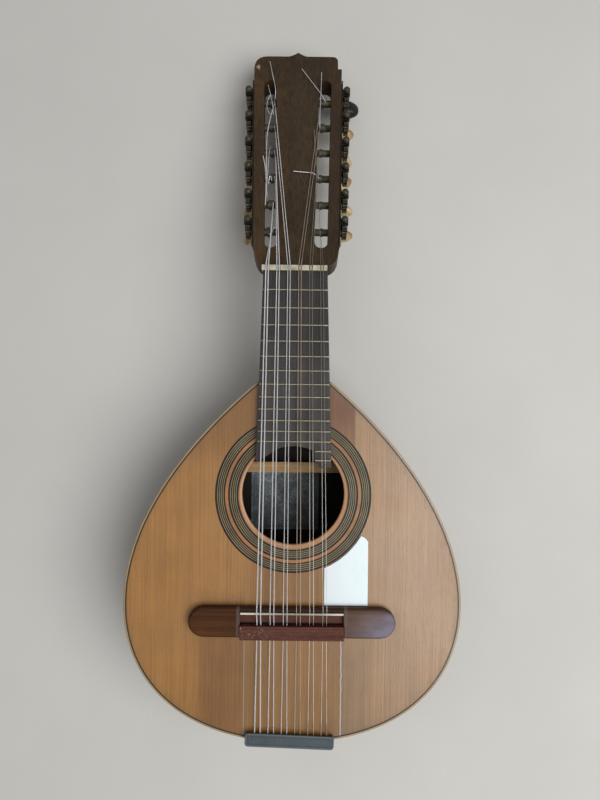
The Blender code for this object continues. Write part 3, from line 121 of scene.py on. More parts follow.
class Shop:
    """A node tree under construction: it adds nodes, sets their sockets and joins them."""

    def __init__(self, tree: Tree) -> None:
        """Start on a tree."""
        self.tree = tree

    def node(self, kind: str, settings: dict[str, Any] | None = None, **sockets: Any) -> Node:
        """Add a node.

        Args:
            kind: The node's type, without its ShaderNode prefix.
            settings: Values for the node's own properties.
            sockets: A value or a socket for each input, by its name with _ for a space, or in0, in1
                and so on for inputs counted from the first.

        Returns:
            The new node.
        """
        made = self.tree.nodes.new(f"ShaderNode{kind}")
        for name, value in (settings or {}).items():
            setattr(made, name, value)
        for name, value in sockets.items():
            key = int(name[2:]) if name[:2] == "in" and name[2:].isdigit() else name.replace("_", " ")
            self.feed(made.inputs[key], value)
        return made

    def feed(self, target: Socket, value: Any) -> None:
        """Set an input to a plain value, or join it to another node's output.

        Args:
            target: The input.
            value: A number, a colour, a vector or a socket.
        """
        if isinstance(value, bpy.types.NodeSocket):
            self.tree.links.new(value, target)
        elif isinstance(value, tuple) and len(value) == 3 and target.type == "RGBA":
            target.default_value = (*value, 1)
        else:
            target.default_value = value

    def math(self, operation: str, first: Any, second: Any = 0.0, clamp: bool = False) -> Socket:
        """Combine two numbers."""
        settings = {"operation": operation, "use_clamp": clamp}
        return self.node("Math", settings, in0=first, in1=second).outputs[0]

    def times(self, first: Any, second: Any) -> Socket:
        """Multiply two numbers."""
        return self.math("MULTIPLY", first, second)

    def plus(self, first: Any, second: Any, clamp: bool = False) -> Socket:
        """Add two numbers."""
        return self.math("ADD", first, second, clamp)

    def less(self, first: Any, second: Any) -> Socket:
        """Take the second number from the first."""
        return self.math("SUBTRACT", first, second)

    def off(self, value: Any, middle: Any) -> Socket:
        """Give how far a number lies from a middle, on either side."""
        return self.math("ABSOLUTE", self.less(value, middle))

    def mix(self, share: Any, first: Any, second: Any, blend: str = "MIX") -> Socket:
        """Mix two colours by a share from 0, the first, to 1, the second."""
        settings = {"data_type": "RGBA", "blend_type": blend}
        return self.node("Mix", settings, in0=share, in6=first, in7=second).outputs[2]

    def tint(self, first: Any, second: Any) -> Socket:
        """Multiply two colours."""
        return self.mix(1.0, first, second, "MULTIPLY")

    def span(self, value: Any, start: float, end: float, first: float = 0.0, last: float = 1.0) -> Socket:
        """Bring a number from one range to another, smoothly and without leaving it."""
        return self.node("MapRange", {"interpolation_type": "SMOOTHSTEP"}, Value=value, From_Min=start,
                         From_Max=end, To_Min=first, To_Max=last).outputs[0]

    def place(self, scale: Sequence[float] = (1, 1, 1), location: Sequence[float] = (0, 0, 0),
              turn: float = 0.0) -> Socket:
        """Give Object coordinates, moved, turned about Z and scaled.

        Args:
            scale: Factors along x, y and z.
            location: How far to move, in metres.
            turn: The angle about Z.

        Returns:
            The vector.
        """
        source = self.node("TexCoord").outputs["Object"]
        mapping = self.node("Mapping", Vector=source, Location=tuple(location),
                            Rotation=(0, 0, turn), Scale=tuple(scale))
        return mapping.outputs[0]

    def axes(self, vector: Any = None) -> Any:
        """Give x, y and z of a vector, or of the Object coordinates."""
        return self.node("SeparateXYZ", Vector=self.place() if vector is None else vector).outputs

    def distance(self, vector: Any) -> Socket:
        """Give a vector's length."""
        return self.node("VectorMath", {"operation": "LENGTH"}, in0=vector).outputs["Value"]

    def age(self, scale: float) -> Any:
        """Give the outputs of the marks of age, at a scale."""
        return self.effect(AGE, Vector=self.place(), Scale=scale).outputs

    def seen(self) -> Socket:
        """Give 1 for what the camera, a reflection or glass sees, and 0 for the light on other things."""
        path = self.node("LightPath").outputs
        return self.math("MAXIMUM", self.math("MAXIMUM", path["Is Camera Ray"], path["Is Glossy Ray"]),
                         path["Is Transmission Ray"])

    def noise(self, vector: Any, scale: float, detail: float = 2.0, roughness: float = 0.5) -> Socket:
        """Give a smooth noise from 0 to 1."""
        return self.node("TexNoise", Vector=vector, Scale=scale, Detail=detail,
                         Roughness=roughness).outputs["Fac"]

    def attribute(self, name: str) -> Socket:
        """Read a number that the mesh carries on its points."""
        return self.node("Attribute", {"attribute_name": name}).outputs["Fac"]

    def bands(self, value: Any, stops: Sequence[tuple[float, Colour]]) -> Socket:
        """Turn a number from 0 to 1 into the colour of the band that it falls in.

        Args:
            value: The number.
            stops: Where each band starts, and its colour.

        Returns:
            The colour.
        """
        ramp = self.node("ValToRGB", Fac=value)
        ramp.color_ramp.interpolation = "CONSTANT"
        elements = ramp.color_ramp.elements
        while len(elements) > 1:
            elements.remove(elements[-1])
        elements[0].position = stops[0][0]
        elements[0].color = (*stops[0][1], 1)
        for position, colour in stops[1:]:
            elements.new(position).color = (*colour, 1)
        return ramp.outputs[0]

    def effect(self, group: Tree, **sockets: Any) -> Node:
        """Place an effect group and set its inputs.

        Args:
            group: The effect group.
            sockets: A value or a socket for each input.

        Returns:
            The placed group.
        """
        made = self.tree.nodes.new("ShaderNodeGroup")
        made.node_tree = group
        for name, value in sockets.items():
            self.feed(made.inputs[name.replace("_", " ")], value)
        return made


def effect_tree(name: str, inputs: dict[str, Any], outputs: Sequence[str]) -> tuple[Shop, Node, Node]:
    """Start an effect group.

    Args:
        name: The group's name.
        inputs: A starting value for each number, or None for a vector.
        outputs: The names of the numbers that it puts out.

    Returns:
        The group's shop, its input node and its output node.
    """
    tree = bpy.data.node_groups.new(name, "ShaderNodeTree")
    for key, value in inputs.items():
        kind = "NodeSocketVector" if value is None else "NodeSocketFloat"
        made = tree.interface.new_socket(name=key, in_out="INPUT", socket_type=kind)
        if value is not None:
            made.default_value = value
    for key in outputs:
        tree.interface.new_socket(name=key, in_out="OUTPUT", socket_type="NodeSocketFloat")
    return Shop(tree), tree.nodes.new("NodeGroupInput"), tree.nodes.new("NodeGroupOutput")


def grain_effect() -> Tree:
    """Build wood grain that runs along Y.

    Lines is a noise across the grain, drawn out along it: the distance across is first bent by a slow
    noise, so that the lines wander. Figure is a slower noise of the same kind, and Pores are short,
    thin dashes along the grain.

    Returns:
        The group, with Lines, Figure and Pores from 0 to 1.
    """
    shop, given, out = effect_tree("wood_grain", {"Vector": None, "Spacing": 700.0, "Wander": 0.002},
                                   ("Lines", "Figure", "Pores"))
    vector, spacing, wander = given.outputs[0], given.outputs[1], given.outputs[2]
    x, along, z = shop.axes(vector)
    slow = shop.noise(vector, 9.0, 2.0)
    shift = shop.times(shop.less(slow, 0.5), wander)
    across = shop.plus(x, shift)
    depth = shop.plus(z, shift)

    def drawn_out(rate: Any, stretch: float) -> Socket:
        """Give a place whose distance along the grain counts for a small share."""
        return shop.node("CombineXYZ", X=shop.times(across, rate),
                         Y=shop.times(along, shop.times(rate, stretch)),
                         Z=shop.times(depth, rate)).outputs[0]

    lines = shop.noise(drawn_out(spacing, 0.005), 1.0, 2.0, 0.5)
    figure = shop.noise(drawn_out(shop.times(spacing, 0.1), 0.06), 1.0, 3.0)
    pores = shop.noise(drawn_out(shop.times(spacing, 2.2), 0.05), 1.0, 1.0)
    shop.feed(out.inputs["Lines"], shop.span(lines, 0.32, 0.68))
    shop.feed(out.inputs["Figure"], shop.span(figure, 0.3, 0.7))
    shop.feed(out.inputs["Pores"], shop.span(pores, 0.6, 0.7))
    return shop.tree


def age_effect() -> Tree:
    """Build the marks of age: slow blotches, small specks and fine scratches.

    Returns:
        The group, with Blotch, Specks and Scratches from 0 to 1.
    """
    shop, given, out = effect_tree("marks_of_age", {"Vector": None, "Scale": 30.0},
                                   ("Blotch", "Specks", "Scratches"))
    vector, scale = given.outputs[0], given.outputs[1]
    blotch = shop.noise(vector, scale, 5.0, 0.6)
    fine = shop.noise(vector, shop.times(scale, 45.0), 1.0)
    bent = shop.node("Mapping", Vector=vector, Rotation=(0.4, 0.3, 0.9), Scale=(1.0, 0.06, 1.0))
    thin = shop.noise(bent.outputs[0], shop.times(scale, 30.0), 0.0)
    shop.feed(out.inputs["Blotch"], shop.span(blotch, 0.3, 0.7))
    shop.feed(out.inputs["Specks"], shop.span(fine, 0.68, 0.76))
    shop.feed(out.inputs["Scratches"], shop.span(thin, 0.7, 0.76))
    return shop.tree


GRAIN = grain_effect()
AGE = age_effect()


# Finishes


@dataclass(frozen=True)
class Finish:
    """What every finish has: a name, a gloss, and how far light spreads off it."""

    name: str
    roughness: float
    coat: float = 0.0
    metallic: float = 0.0
    specular: float = 0.5

    def colour(self, shop: Shop) -> Socket:
        """Give the colour over the surface."""
        raise NotImplementedError

    def relief(self, shop: Shop) -> tuple[Any, float]:
        """Give the height over the surface and how deep it goes, in metres."""
        return None, 0.0

    def gloss(self, shop: Shop) -> Any:
        """Give the roughness over the surface."""
        return self.roughness

    def build(self) -> bpy.types.Material:
        """Make the material, or give it if it is there.

        Returns:
            The material.
        """
        made = bpy.data.materials.get(self.name)
        if made:
            return made
        made = bpy.data.materials.new(self.name)
        made.use_nodes = True
        shop = Shop(made.node_tree)
        surface = made.node_tree.nodes["Principled BSDF"]
        values = {"Base Color": self.colour(shop), "Roughness": self.gloss(shop),
                  "Metallic": self.metallic, "Coat Weight": self.coat,
                  "Coat Roughness": COAT_ROUGHNESS, "Specular IOR Level": self.specular}
        for key, value in values.items():
            shop.feed(surface.inputs[key], value)
        height, depth = self.relief(shop)
        if height is not None:
            bump = shop.node("Bump", Strength=1.0, Distance=depth, Height=height)
            shop.feed(surface.inputs["Normal"], bump.outputs[0])
        return made


class Run(Enum):
    """The way that the grain of a piece runs."""

    ALONG = (0, 0, 0)
    ACROSS = (0, 0, math.pi / 2)


@dataclass(frozen=True)
class Wood(Finish):
    """Varnished or bare wood with grain lines, figure, pores and marks of age."""

    light: Colour = (0.3, 0.15, 0.06)
    dark: Colour = (0.2, 0.1, 0.04)
    pore: float = 0.35
    spacing: float = 700.0
    figure_share: float = 0.4
    wander: float = 0.003
    run: Run = Run.ALONG
    blotch_depth: float = 0.25
    clean: Colour = (1.04, 1.03, 1.0)
    speck: Colour = (0.02, 0.014, 0.01)
    speck_share: float = 0.35
    relief_depth: float = 0.04 * MM

    def grain(self, shop: Shop) -> Any:
        """Place the grain, turned to run the right way."""
        turned = shop.node("Mapping", Vector=shop.node("TexCoord").outputs["Object"],
                           Rotation=self.run.value).outputs[0]
        return shop.effect(GRAIN, Vector=turned, Spacing=self.spacing, Wander=self.wander).outputs

    def colour(self, shop: Shop) -> Socket:
        """Give the colour: figure and lines from light to dark, pores, then blotches and specks.

        Args:
            shop: The tree.

        Returns:
            The colour.
        """
        grain = self.grain(shop)
        age = shop.age(22.0)
        share = shop.plus(shop.times(grain["Lines"], 1 - self.figure_share),
                          shop.times(grain["Figure"], self.figure_share))
        base = shop.mix(share, self.light, self.dark)
        pored = shop.mix(shop.times(grain["Pores"], self.pore), base, darker(self.dark, 0.25))
        aged = shop.mix(age["Blotch"], self.clean, (1 - self.blotch_depth,) * 3)
        worn = shop.tint(pored, aged)
        return shop.mix(shop.times(age["Specks"], self.speck_share), worn, self.speck)

    def relief(self, shop: Shop) -> tuple[Any, float]:
        """Give the height: the lines stand up a little and the pores are sunk."""
        grain = self.grain(shop)
        return shop.less(grain["Lines"], grain["Pores"]), self.relief_depth

    def gloss(self, shop: Shop) -> Any:
        """Give the roughness, dulled in blotches."""
        return shop.span(shop.age(14.0)["Blotch"], 0.0, 1.0, self.roughness - 0.07, self.roughness + 0.1)


@dataclass(frozen=True)
class ToneAndShadowPatch:
    """A stretch of the soundboard tinted by a colour, its borders in mm: mostly a plank's own tone, in one
    place a painted shadow.
    """

    across: Pair
    along: Pair
    colour: Colour
    soft: Pair = (1, 1)
    soft_along: float = 14

    def within(self, shop: Shop, value: Socket, borders: Pair, soft: Pair) -> Socket:
        """Give 1 between two borders and 0 outside, over a soft width in mm at each.

        Args:
            shop: The tree.
            value: A place along one axis, in metres.
            borders: The two borders, in mm.
            soft: The soft width at each.

        Returns:
            The share.
        """
        start, end = borders
        after = shop.span(value, (start - soft[0]) * MM, (start + soft[0]) * MM)
        before = shop.span(value, (end - soft[1]) * MM, (end + soft[1]) * MM, 1.0, 0.0)
        return shop.times(after, before)

    def laid_over(self, shop: Shop, x: Socket, y: Socket, base: Socket) -> Socket:
        """Give a colour with this tone laid over it."""
        inside = shop.times(self.within(shop, x, self.across, self.soft),
                            self.within(shop, y, self.along, (self.soft_along, self.soft_along)))
        return shop.mix(inside, base, shop.tint(base, self.colour))


@dataclass(frozen=True)
class Top(Wood):
    """The soundboard: two tones of spruce, a painted sheen to the treble side, a painted shadow by the
    fingerboard, worn seams below the bridge and a darkened rim.
    """

    # The pink multiplier is partly the treble planks' own tone and partly a painted sheen, paling and
    # bluing the wood.
    pink: Colour = (1.02, 1.28, 2.7)
    seam: Colour = tone(186, 176, 172)
    seam_shade: Colour = tone(92, 62, 40)
    lip: Colour = tone(178, 128, 88)
    rim: Colour = (0.12, 0.06, 0.025)
    seam_right: float = 38.0 * MM
    seam_top: float = -18 * MM
    plank_upper: float = 47 * MM
    fading_y: Pair = (95 * MM, 125 * MM)
    seams: tuple[tuple[float, float, float, float], ...] = (
        (-36.6 * MM, 0.28 * MM, 0.4, 0.1), (38.0 * MM, 0.42 * MM, 0.7, 1.3))
    tones: tuple[ToneAndShadowPatch, ...] = (
        ToneAndShadowPatch((-72, -36.6), (-120, 8), (0.66, 0.61, 0.55), (9, 1)),
        ToneAndShadowPatch((25, 38), (-120, 8), (0.82, 0.82, 0.82), (4, 1)),
        ToneAndShadowPatch((-36.6, 38), (-120, -22), (0.82, 0.86, 1.02)),
        ToneAndShadowPatch((38, 60), (-120, -22), (0.74, 0.8, 0.94), (1, 9)),
        ToneAndShadowPatch((-24, 24), (4, 42), (0.72, 0.72, 0.66), (6, 4)),
        ToneAndShadowPatch((-80, 0), (118, 200), (0.7, 0.66, 0.58)),
        # Painted shadow: the soundboard darkened beside the fingerboard's treble side.
        ToneAndShadowPatch((0, 47), (126, 220), (0.45, 0.34, 0.18), (1, 1), 26),
    )

    def colour(self, shop: Shop) -> Socket:
        """Give the wood's colour, turned pink to the treble side by a plank's tone and a painted sheen,
        with a painted shadow by the fingerboard and its two pale seams.

        Args:
            shop: The tree.

        Returns:
            The colour.
        """
        base = Wood.colour(self, shop)
        x, y, _ = shop.axes()
        slow = shop.less(shop.noise(shop.place(), 12.0, 3.0), 0.5)
        # Shares of the pink tint: partly the treble planks' own tone, partly a painted sheen towards the
        # treble side.
        wide = shop.span(shop.plus(x, shop.times(slow, 30 * MM)), 20 * MM, 75 * MM)
        edge = shop.span(y, self.seam_top, 0.0, self.seam_right, self.plank_upper)
        plank = shop.times(shop.span(shop.less(x, edge), 0.0, 0.7 * MM),
                           shop.span(y, *self.fading_y, 0.4, 0.8))
        share = shop.plus(shop.times(wide, shop.span(y, *self.fading_y, 0.6, 0.1)), plank, True)
        tinted_and_sheened = shop.mix(share, base, shop.tint(base, self.pink))
        for tone_patch in self.tones:
            tinted_and_sheened = tone_patch.laid_over(shop, x, y, tinted_and_sheened)
        lipped = shop.mix(shop.attribute("lip"), tinted_and_sheened, self.lip)
        rimmed = shop.mix(shop.times(shop.attribute("rim"), 0.3), lipped, self.rim)
        wobble = shop.times(shop.less(shop.noise(shop.place(), 130.0, 3.0), 0.5), 1.4 * MM)
        below = shop.span(y, self.seam_top - 1 * MM, self.seam_top, 1.0, 0.0)
        off_plank = shop.off(x, self.plank_upper)
        crack = shop.times(shop.span(off_plank, 0.2 * MM, 0.6 * MM, 0.4, 0.0),
                           shop.span(y, 105 * MM, 120 * MM))
        marked = shop.mix(crack, rimmed, self.seam_shade)
        for at, half, strength, bend in self.seams:
            bent = shop.plus(x, shop.times(wobble, bend))
            off = shop.off(bent, at)
            shade = shop.times(shop.span(off, half * 1.5, half * 3.5, 0.45, 0.0), below)
            line = shop.times(shop.span(off, half, half * 1.6, strength, 0.0), below)
            marked = shop.mix(line, shop.mix(shade, marked, self.seam_shade), self.seam)
        return marked


class Band(Enum):
    """The woods of the rosette's rings."""

    BLACK = tone(14, 11, 10)
    DARK = tone(18, 13, 10)
    ORANGE = tone(166, 114, 70)
    PALE = tone(148, 129, 92)
    TOP = tone(170, 120, 78)


@dataclass(frozen=True)
class Rosette(Finish):
    """Rings of inlaid wood round the soundhole, each a band of its own width in mm, from the outside in."""

    outer: float = 60 * MM
    inner: float = 41.6 * MM
    centre_y: float = 88.6 * MM
    fresh: Colour = (1.08, 1.08, 1.08)
    faded: Colour = (0.7, 0.68, 0.64)
    painted_sheen_tint: Colour = (1.0, 1.15, 1.3)
    rings: tuple[tuple[Band, float], ...] = (
        (Band.BLACK, 1.5), (Band.PALE, 0.45), (Band.DARK, 0.95), (Band.PALE, 0.5), (Band.DARK, 0.95),
        (Band.PALE, 0.5), (Band.DARK, 0.95), (Band.PALE, 0.5), (Band.BLACK, 1.3), (Band.ORANGE, 2.3),
        (Band.BLACK, 1.6), (Band.PALE, 0.5), (Band.DARK, 0.95), (Band.PALE, 0.5), (Band.DARK, 0.95),
        (Band.PALE, 0.5), (Band.DARK, 0.95), (Band.PALE, 0.5), (Band.BLACK, 1.5), (Band.TOP, 0.6),
    )

    def colour(self, shop: Shop) -> Socket:
        """Give each ring its colour by the distance from the hole's middle, worn by blotches, with a
        painted bluish sheen towards the treble side.

        Args:
            shop: The tree.

        Returns:
            The colour.
        """
        distance = shop.distance(shop.place((1, 1, 0), (0, -self.centre_y, 0)))
        depth = self.outer - self.inner
        share = shop.node("MapRange", Value=distance, From_Min=self.outer, From_Max=self.inner)
        stops = []
        reached = 0.0
        for band, width in self.rings:
            stops.append((min(reached * MM / depth, 1.0), band.value))
            reached += width
        plain = shop.bands(share.outputs[0], stops)
        worn = shop.tint(plain, shop.mix(shop.age(60.0)["Blotch"], self.fresh, self.faded))
        # Painted sheen: the rings turn paler and bluish towards the treble side.
        cool = shop.span(shop.axes()[0], -10 * MM, 50 * MM, 0.0, 0.4)
        return shop.mix(cool, worn, shop.tint(worn, self.painted_sheen_tint))


@dataclass(frozen=True)
class Edging(Finish):
    """The binding strip with its black line, told apart by how far a point is across the strip."""

    strip: Colour = tone(164, 138, 98)
    line: Colour = tone(26, 20, 18)
    outer_edge: Colour = tone(124, 100, 68)
    line_at: float = 0.62

    def colour(self, shop: Shop) -> Socket:
        """Give the strip's colour by the across attribute, from 0 outside to 1 inside.

        Args:
            shop: The tree.

        Returns:
            The colour.
        """
        across = shop.attribute("across")
        strip = shop.mix(shop.span(across, 0.0, 0.28), self.outer_edge, self.strip)
        faded = shop.mix(shop.times(shop.age(50.0)["Blotch"], 0.4), strip, self.outer_edge)
        return shop.mix(shop.span(across, self.line_at - 0.03, self.line_at + 0.03), faded, self.line)


@dataclass(frozen=True)
class Plain(Finish):
    """A hard material of one tone with blotches, scratches, and a worn tone where the mesh says so."""

    base: Colour = (0.5, 0.5, 0.5)
    worn: Colour = (0.6, 0.6, 0.6)
    dirt: Colour = (0.1, 0.1, 0.1)
    dirt_share: float = 0.4
    scale: float = 60.0
    scratch_share: float = 0.3
    relief_depth: float = 0.03 * MM

    def colour(self, shop: Shop) -> Socket:
        """Give the base tone, dirtied in blotches, and the worn tone by the wear attribute.

        Args:
            shop: The tree.

        Returns:
            The colour.
        """
        age = shop.age(self.scale)
        dirtied = shop.mix(shop.times(age["Blotch"], self.dirt_share), self.base, self.dirt)
        rubbed = shop.mix(shop.attribute("wear"), dirtied, self.worn)
        return shop.mix(shop.times(age["Scratches"], self.scratch_share), rubbed, self.worn)

    def relief(self, shop: Shop) -> tuple[Any, float]:
        """Give the height: fine scratches and slow dents."""
        age = shop.age(self.scale)
        return shop.less(age["Blotch"], age["Scratches"]), self.relief_depth

    def gloss(self, shop: Shop) -> Any:
        """Give the roughness, duller where it is dirty."""
        return shop.span(shop.age(self.scale)["Blotch"], 0.0, 1.0,
                         self.roughness - 0.05, self.roughness + 0.12)


@dataclass(frozen=True)
class BoardWood(Wood):
    """The fingerboard's wood, worn paler towards the soundhole."""

    hole_y: float = 100 * MM
    nut_y: float = 240 * MM
    shade_from: float = 13 * MM
    shade_to: float = 19 * MM
    worn: Colour = (1.12, 1.12, 1.13)
    fresh: Colour = (0.76, 0.75, 0.78)
    shaded: Colour = (0.68, 0.67, 0.67)

    def colour(self, shop: Shop) -> Socket:
        """Give the wood's colour, from paler at the soundhole to darker at the nut and the treble side.

        Args:
            shop: The tree.

        Returns:
            The colour.
        """
        wood = Wood.colour(self, shop)
        x, y, _ = shop.axes()
        far = shop.span(y, self.hole_y, self.nut_y)
        graded = shop.tint(wood, shop.mix(far, self.worn, self.fresh))
        aside = shop.span(x, self.shade_from, self.shade_to)
        return shop.mix(aside, graded, shop.tint(graded, self.shaded))


@dataclass(frozen=True)
class HeadWood(Wood):
    """The head's wood: a warm piece on each side of a darker middle, and a pale chip at one corner."""

    warm: Colour = (1.22, 1.06, 0.88)
    shaded: Colour = (0.82, 0.74, 0.68)
    left_joint: float = -6.5 * MM
    right_joint: float = 17.7 * MM
    chip_at: Pair = (-33.4 * MM, 443.7 * MM)
    chip_half: float = 2.7 * MM
    chip_flatness: float = 0.62
    chip: Colour = tone(166, 150, 124)

    def colour(self, shop: Shop) -> Socket:
        """Give the wood's colour, warmed beyond the joints, and bare at the chip.

        Args:
            shop: The tree.

        Returns:
            The colour.
        """
        wood = Wood.colour(self, shop)
        x = shop.axes()[0]
        left = shop.span(x, self.left_joint - 1 * MM, self.left_joint, 0.85, 0.0)
        right = shop.span(x, self.right_joint, self.right_joint + 0.6 * MM, 0.0, 1.0)
        warmed = shop.mix(left, wood, shop.tint(wood, self.warm))
        warmed = shop.mix(right, warmed, shop.tint(warmed, self.shaded))
        longer = self.chip_flatness
        flat = shop.place((1, longer, 0), (-self.chip_at[0], -self.chip_at[1] * longer, 0))
        rough = shop.times(shop.noise(shop.place(), 520.0, 3.0), 3.4 * MM)
        off = shop.distance(flat)
        bare = shop.span(shop.plus(off, rough), self.chip_half, self.chip_half + 0.9 * MM, 0.8, 0.0)
        return shop.mix(bare, warmed, self.chip)


@dataclass(frozen=True)
class BackWood(Wood):
    """The back's wood: varnished outside, darker inside, and near black by painted shade inside towards the
    treble side.
    """

    inner: Colour = tone(36, 30, 25)
    corner: Colour = tone(6, 5, 4)
    inner_z: float = 2.2 * MM

    def colour(self, shop: Shop) -> Socket:
        """Give the wood's colour, and a darker tone above the inner face's height, near black by painted
        shade towards the treble side.

        Args:
            shop: The tree.

        Returns:
            The colour.
        """
        wood = Wood.colour(self, shop)
        x, _, z = shop.axes()
        inside = shop.span(z, self.inner_z - 0.1 * MM, self.inner_z)
        # Painted shade: the inner face goes near black towards the treble side.
        dark = shop.mix(shop.span(x, 15 * MM, 24 * MM), self.inner, self.corner)
        return shop.mix(inside, wood, dark)


@dataclass(frozen=True)
class BridgeWood(Wood):
    """The bridge's wood, darker in front of the saddle and redder in the channel behind it, with a painted
    sheen on the treble wing and painted shade round the wings' edges.
    """

    centre_half: float = 39.3 * MM
    strip_width: float = 3.2 * MM
    middle_y: float = -7.55 * MM
    end_x: float = 67.4 * MM
    rim: Pair = (10.1 * MM, 11.4 * MM)
    edge_shade_tone: Colour = tone(24, 14, 10)
    front: Colour = tone(46, 26, 18)
    channel: Colour = tone(92, 54, 44)
    shadow: Colour = tone(14, 9, 8)
    strip: Colour = tone(92, 76, 70)
    worn: Colour = tone(104, 84, 74)
    painted_sheen: Colour = tone(126, 121, 138)

    def colour(self, shop: Shop) -> Socket:
        """Give the wood's colour, changed between the shoulders in front of the saddle and behind it, with
        painted sheen and painted edge shade on the wings.

        Args:
            shop: The tree.

        Returns:
            The colour.
        """
        wood = Wood.colour(self, shop)
        x, y, _ = shop.axes()
        off = shop.math("ABSOLUTE", x)
        centre = shop.span(off, self.centre_half, self.centre_half + 0.6 * MM, 1.0, 0.0)
        front = shop.times(shop.span(y, -1 * MM, 0.0, 0.0, 0.75), centre)
        channel = shop.times(shop.span(y, -2 * MM, -1 * MM, 0.65, 0.0), centre)
        shadow = shop.times(shop.span(y, -8.6 * MM, -7.6 * MM, 0.95, 0.0), centre)
        # Rubbed patches on the treble wing only: partly worn varnish, partly a painted sheen, less towards
        # the wing's long edges.
        patches = shop.noise(shop.place((1.0, 2.0, 1.0)), 90.0, 3.0, 0.6)
        rubbed = shop.times(shop.span(x, 40 * MM, 60 * MM, 0.6, 0.85), shop.span(patches, 0.2, 0.7, 0.6))
        rubbed = shop.times(rubbed, shop.span(x, self.centre_half, self.centre_half + 1 * MM))
        # Painted sheen: a bluish grey that grows towards the treble wing's outer end.
        outwards = shop.less(x, shop.times(y, 1.3))
        sheen = shop.span(outwards, 50 * MM, 96 * MM)
        across = shop.less(y, self.middle_y)
        past = shop.math("MAXIMUM", shop.less(off, self.end_x), 0.0)
        lower = shop.plus(across, 1.5 * MM)
        rubbed = shop.times(rubbed, shop.span(shop.math("ABSOLUTE", lower), 7 * MM, 12 * MM, 1.0, 0.4))
        wings = shop.mix(rubbed, wood, shop.mix(sheen, self.worn, self.painted_sheen))
        # Painted shade: a dark band round the wings' rounded edges.
        squares = shop.plus(shop.times(across, across), shop.times(past, past))
        rim = shop.span(shop.math("SQRT", squares), self.rim[0], self.rim[1], 0.0, 0.7)
        wings = shop.mix(rim, wings, self.edge_shade_tone)
        edge = self.centre_half + self.strip_width
        beside = shop.times(shop.span(off, edge - 0.8 * MM, edge, 0.7, 0.0),
                            shop.less(1.0, centre))
        striped = shop.mix(beside, wings, self.strip)
        darkened = shop.mix(front, striped, self.front)
        reddened = shop.mix(channel, darkened, self.channel)
        return shop.mix(shadow, reddened, self.shadow)


@dataclass(frozen=True)
class TieWood(Wood):
    """The tie block's wood, speckled with fine pale dots towards the bass side."""

    dots: Colour = tone(176, 158, 146)
    dots_end: float = -10 * MM

    def colour(self, shop: Shop) -> Socket:
        """Give the wood's colour and the dots, thinned out towards the treble side.

        Args:
            shop: The tree.

        Returns:
            The colour.
        """
        wood = Wood.colour(self, shop)
        x = shop.axes()[0]
        bass = shop.span(x, self.dots_end - 18 * MM, self.dots_end, 0.7, 0.15)
        fine = shop.span(shop.noise(shop.place(), 900.0, 1.0), 0.6, 0.68)
        groups = shop.span(shop.noise(shop.place(), 170.0, 2.0), 0.44, 0.56)
        return shop.mix(shop.times(shop.times(fine, groups), bass), wood, self.dots)


@dataclass(frozen=True)
class SaddleBone(Plain):
    """The saddle's bone: grey and olive where the strings cross it, pale at its ends, dark at its foot."""

    half_length: float = 39 * MM
    top_z: float = 87.2 * MM
    foot: Colour = tone(82, 64, 48)

    def colour(self, shop: Shop) -> Socket:
        """Give the aged bone, paler towards the ends and darker below its top.

        Args:
            shop: The tree.

        Returns:
            The colour.
        """
        bone = Plain.colour(self, shop)
        x, _, z = shop.axes()
        off = shop.math("ABSOLUTE", x)
        ends = shop.span(off, self.half_length - 16 * MM, self.half_length - 3 * MM, 0.0, 0.65)
        middle_off = shop.off(x, 2 * MM)
        grimy = shop.span(middle_off, 8 * MM, 22 * MM, 0.6, 0.0)
        paled = shop.mix(ends, shop.mix(grimy, bone, self.dirt), self.worn)
        below = shop.span(z, self.top_z - 0.7 * MM, self.top_z - 0.2 * MM, 0.85, 0.0)
        return shop.mix(below, paled, self.foot)


@dataclass(frozen=True)
class CoverPaint(Plain):
    """The tail cover's paint: paler along its rim, with a pressed line a little way inside."""

    middle: Pair = (-1 * MM, -98.45 * MM)
    turn: float = math.radians(1.9)
    half_length: float = 34 * MM
    half_width: float = 4.95 * MM
    line_inset: float = 1.9 * MM
    pressed_depth: float = 0.05 * MM

    def off_rim(self, shop: Shop) -> Socket:
        """Give the distance inwards from the rim: the smaller of the distances from sides and ends.

        Args:
            shop: The tree.

        Returns:
            The distance, in metres.
        """
        centred = shop.place(location=(-self.middle[0], -self.middle[1], 0))
        flat = shop.node("Mapping", Vector=centred, Rotation=(0, 0, self.turn))
        x, y, _ = shop.axes(flat.outputs[0])
        off_end = shop.less(self.half_length, shop.math("ABSOLUTE", x))
        off_side = shop.less(self.half_width, shop.math("ABSOLUTE", y))
        return shop.math("MINIMUM", off_end, off_side)

    def line(self, shop: Shop) -> Socket:
        """Give the pressed line, 1 in its middle."""
        off = shop.off(self.off_rim(shop), self.line_inset)
        return shop.span(off, 0.15 * MM, 0.5 * MM, 1.0, 0.0)

    def colour(self, shop: Shop) -> Socket:
        """Give the paint, paler at the rim and darker in the line.

        Args:
            shop: The tree.

        Returns:
            The colour.
        """
        paint = Plain.colour(self, shop)
        rim = shop.span(self.off_rim(shop), 0.2 * MM, 1.6 * MM, 0.4, 0.0)
        rimmed = shop.mix(rim, paint, self.worn)
        return shop.mix(shop.times(self.line(shop), 0.2), rimmed, self.dirt)

    def relief(self, shop: Shop) -> tuple[Any, float]:
        """Give the height: dents and scratches, and the line sunk a little."""
        sunk = shop.times(self.line(shop), 4.0)
        return shop.less(Plain.relief(self, shop)[0], sunk), self.pressed_depth


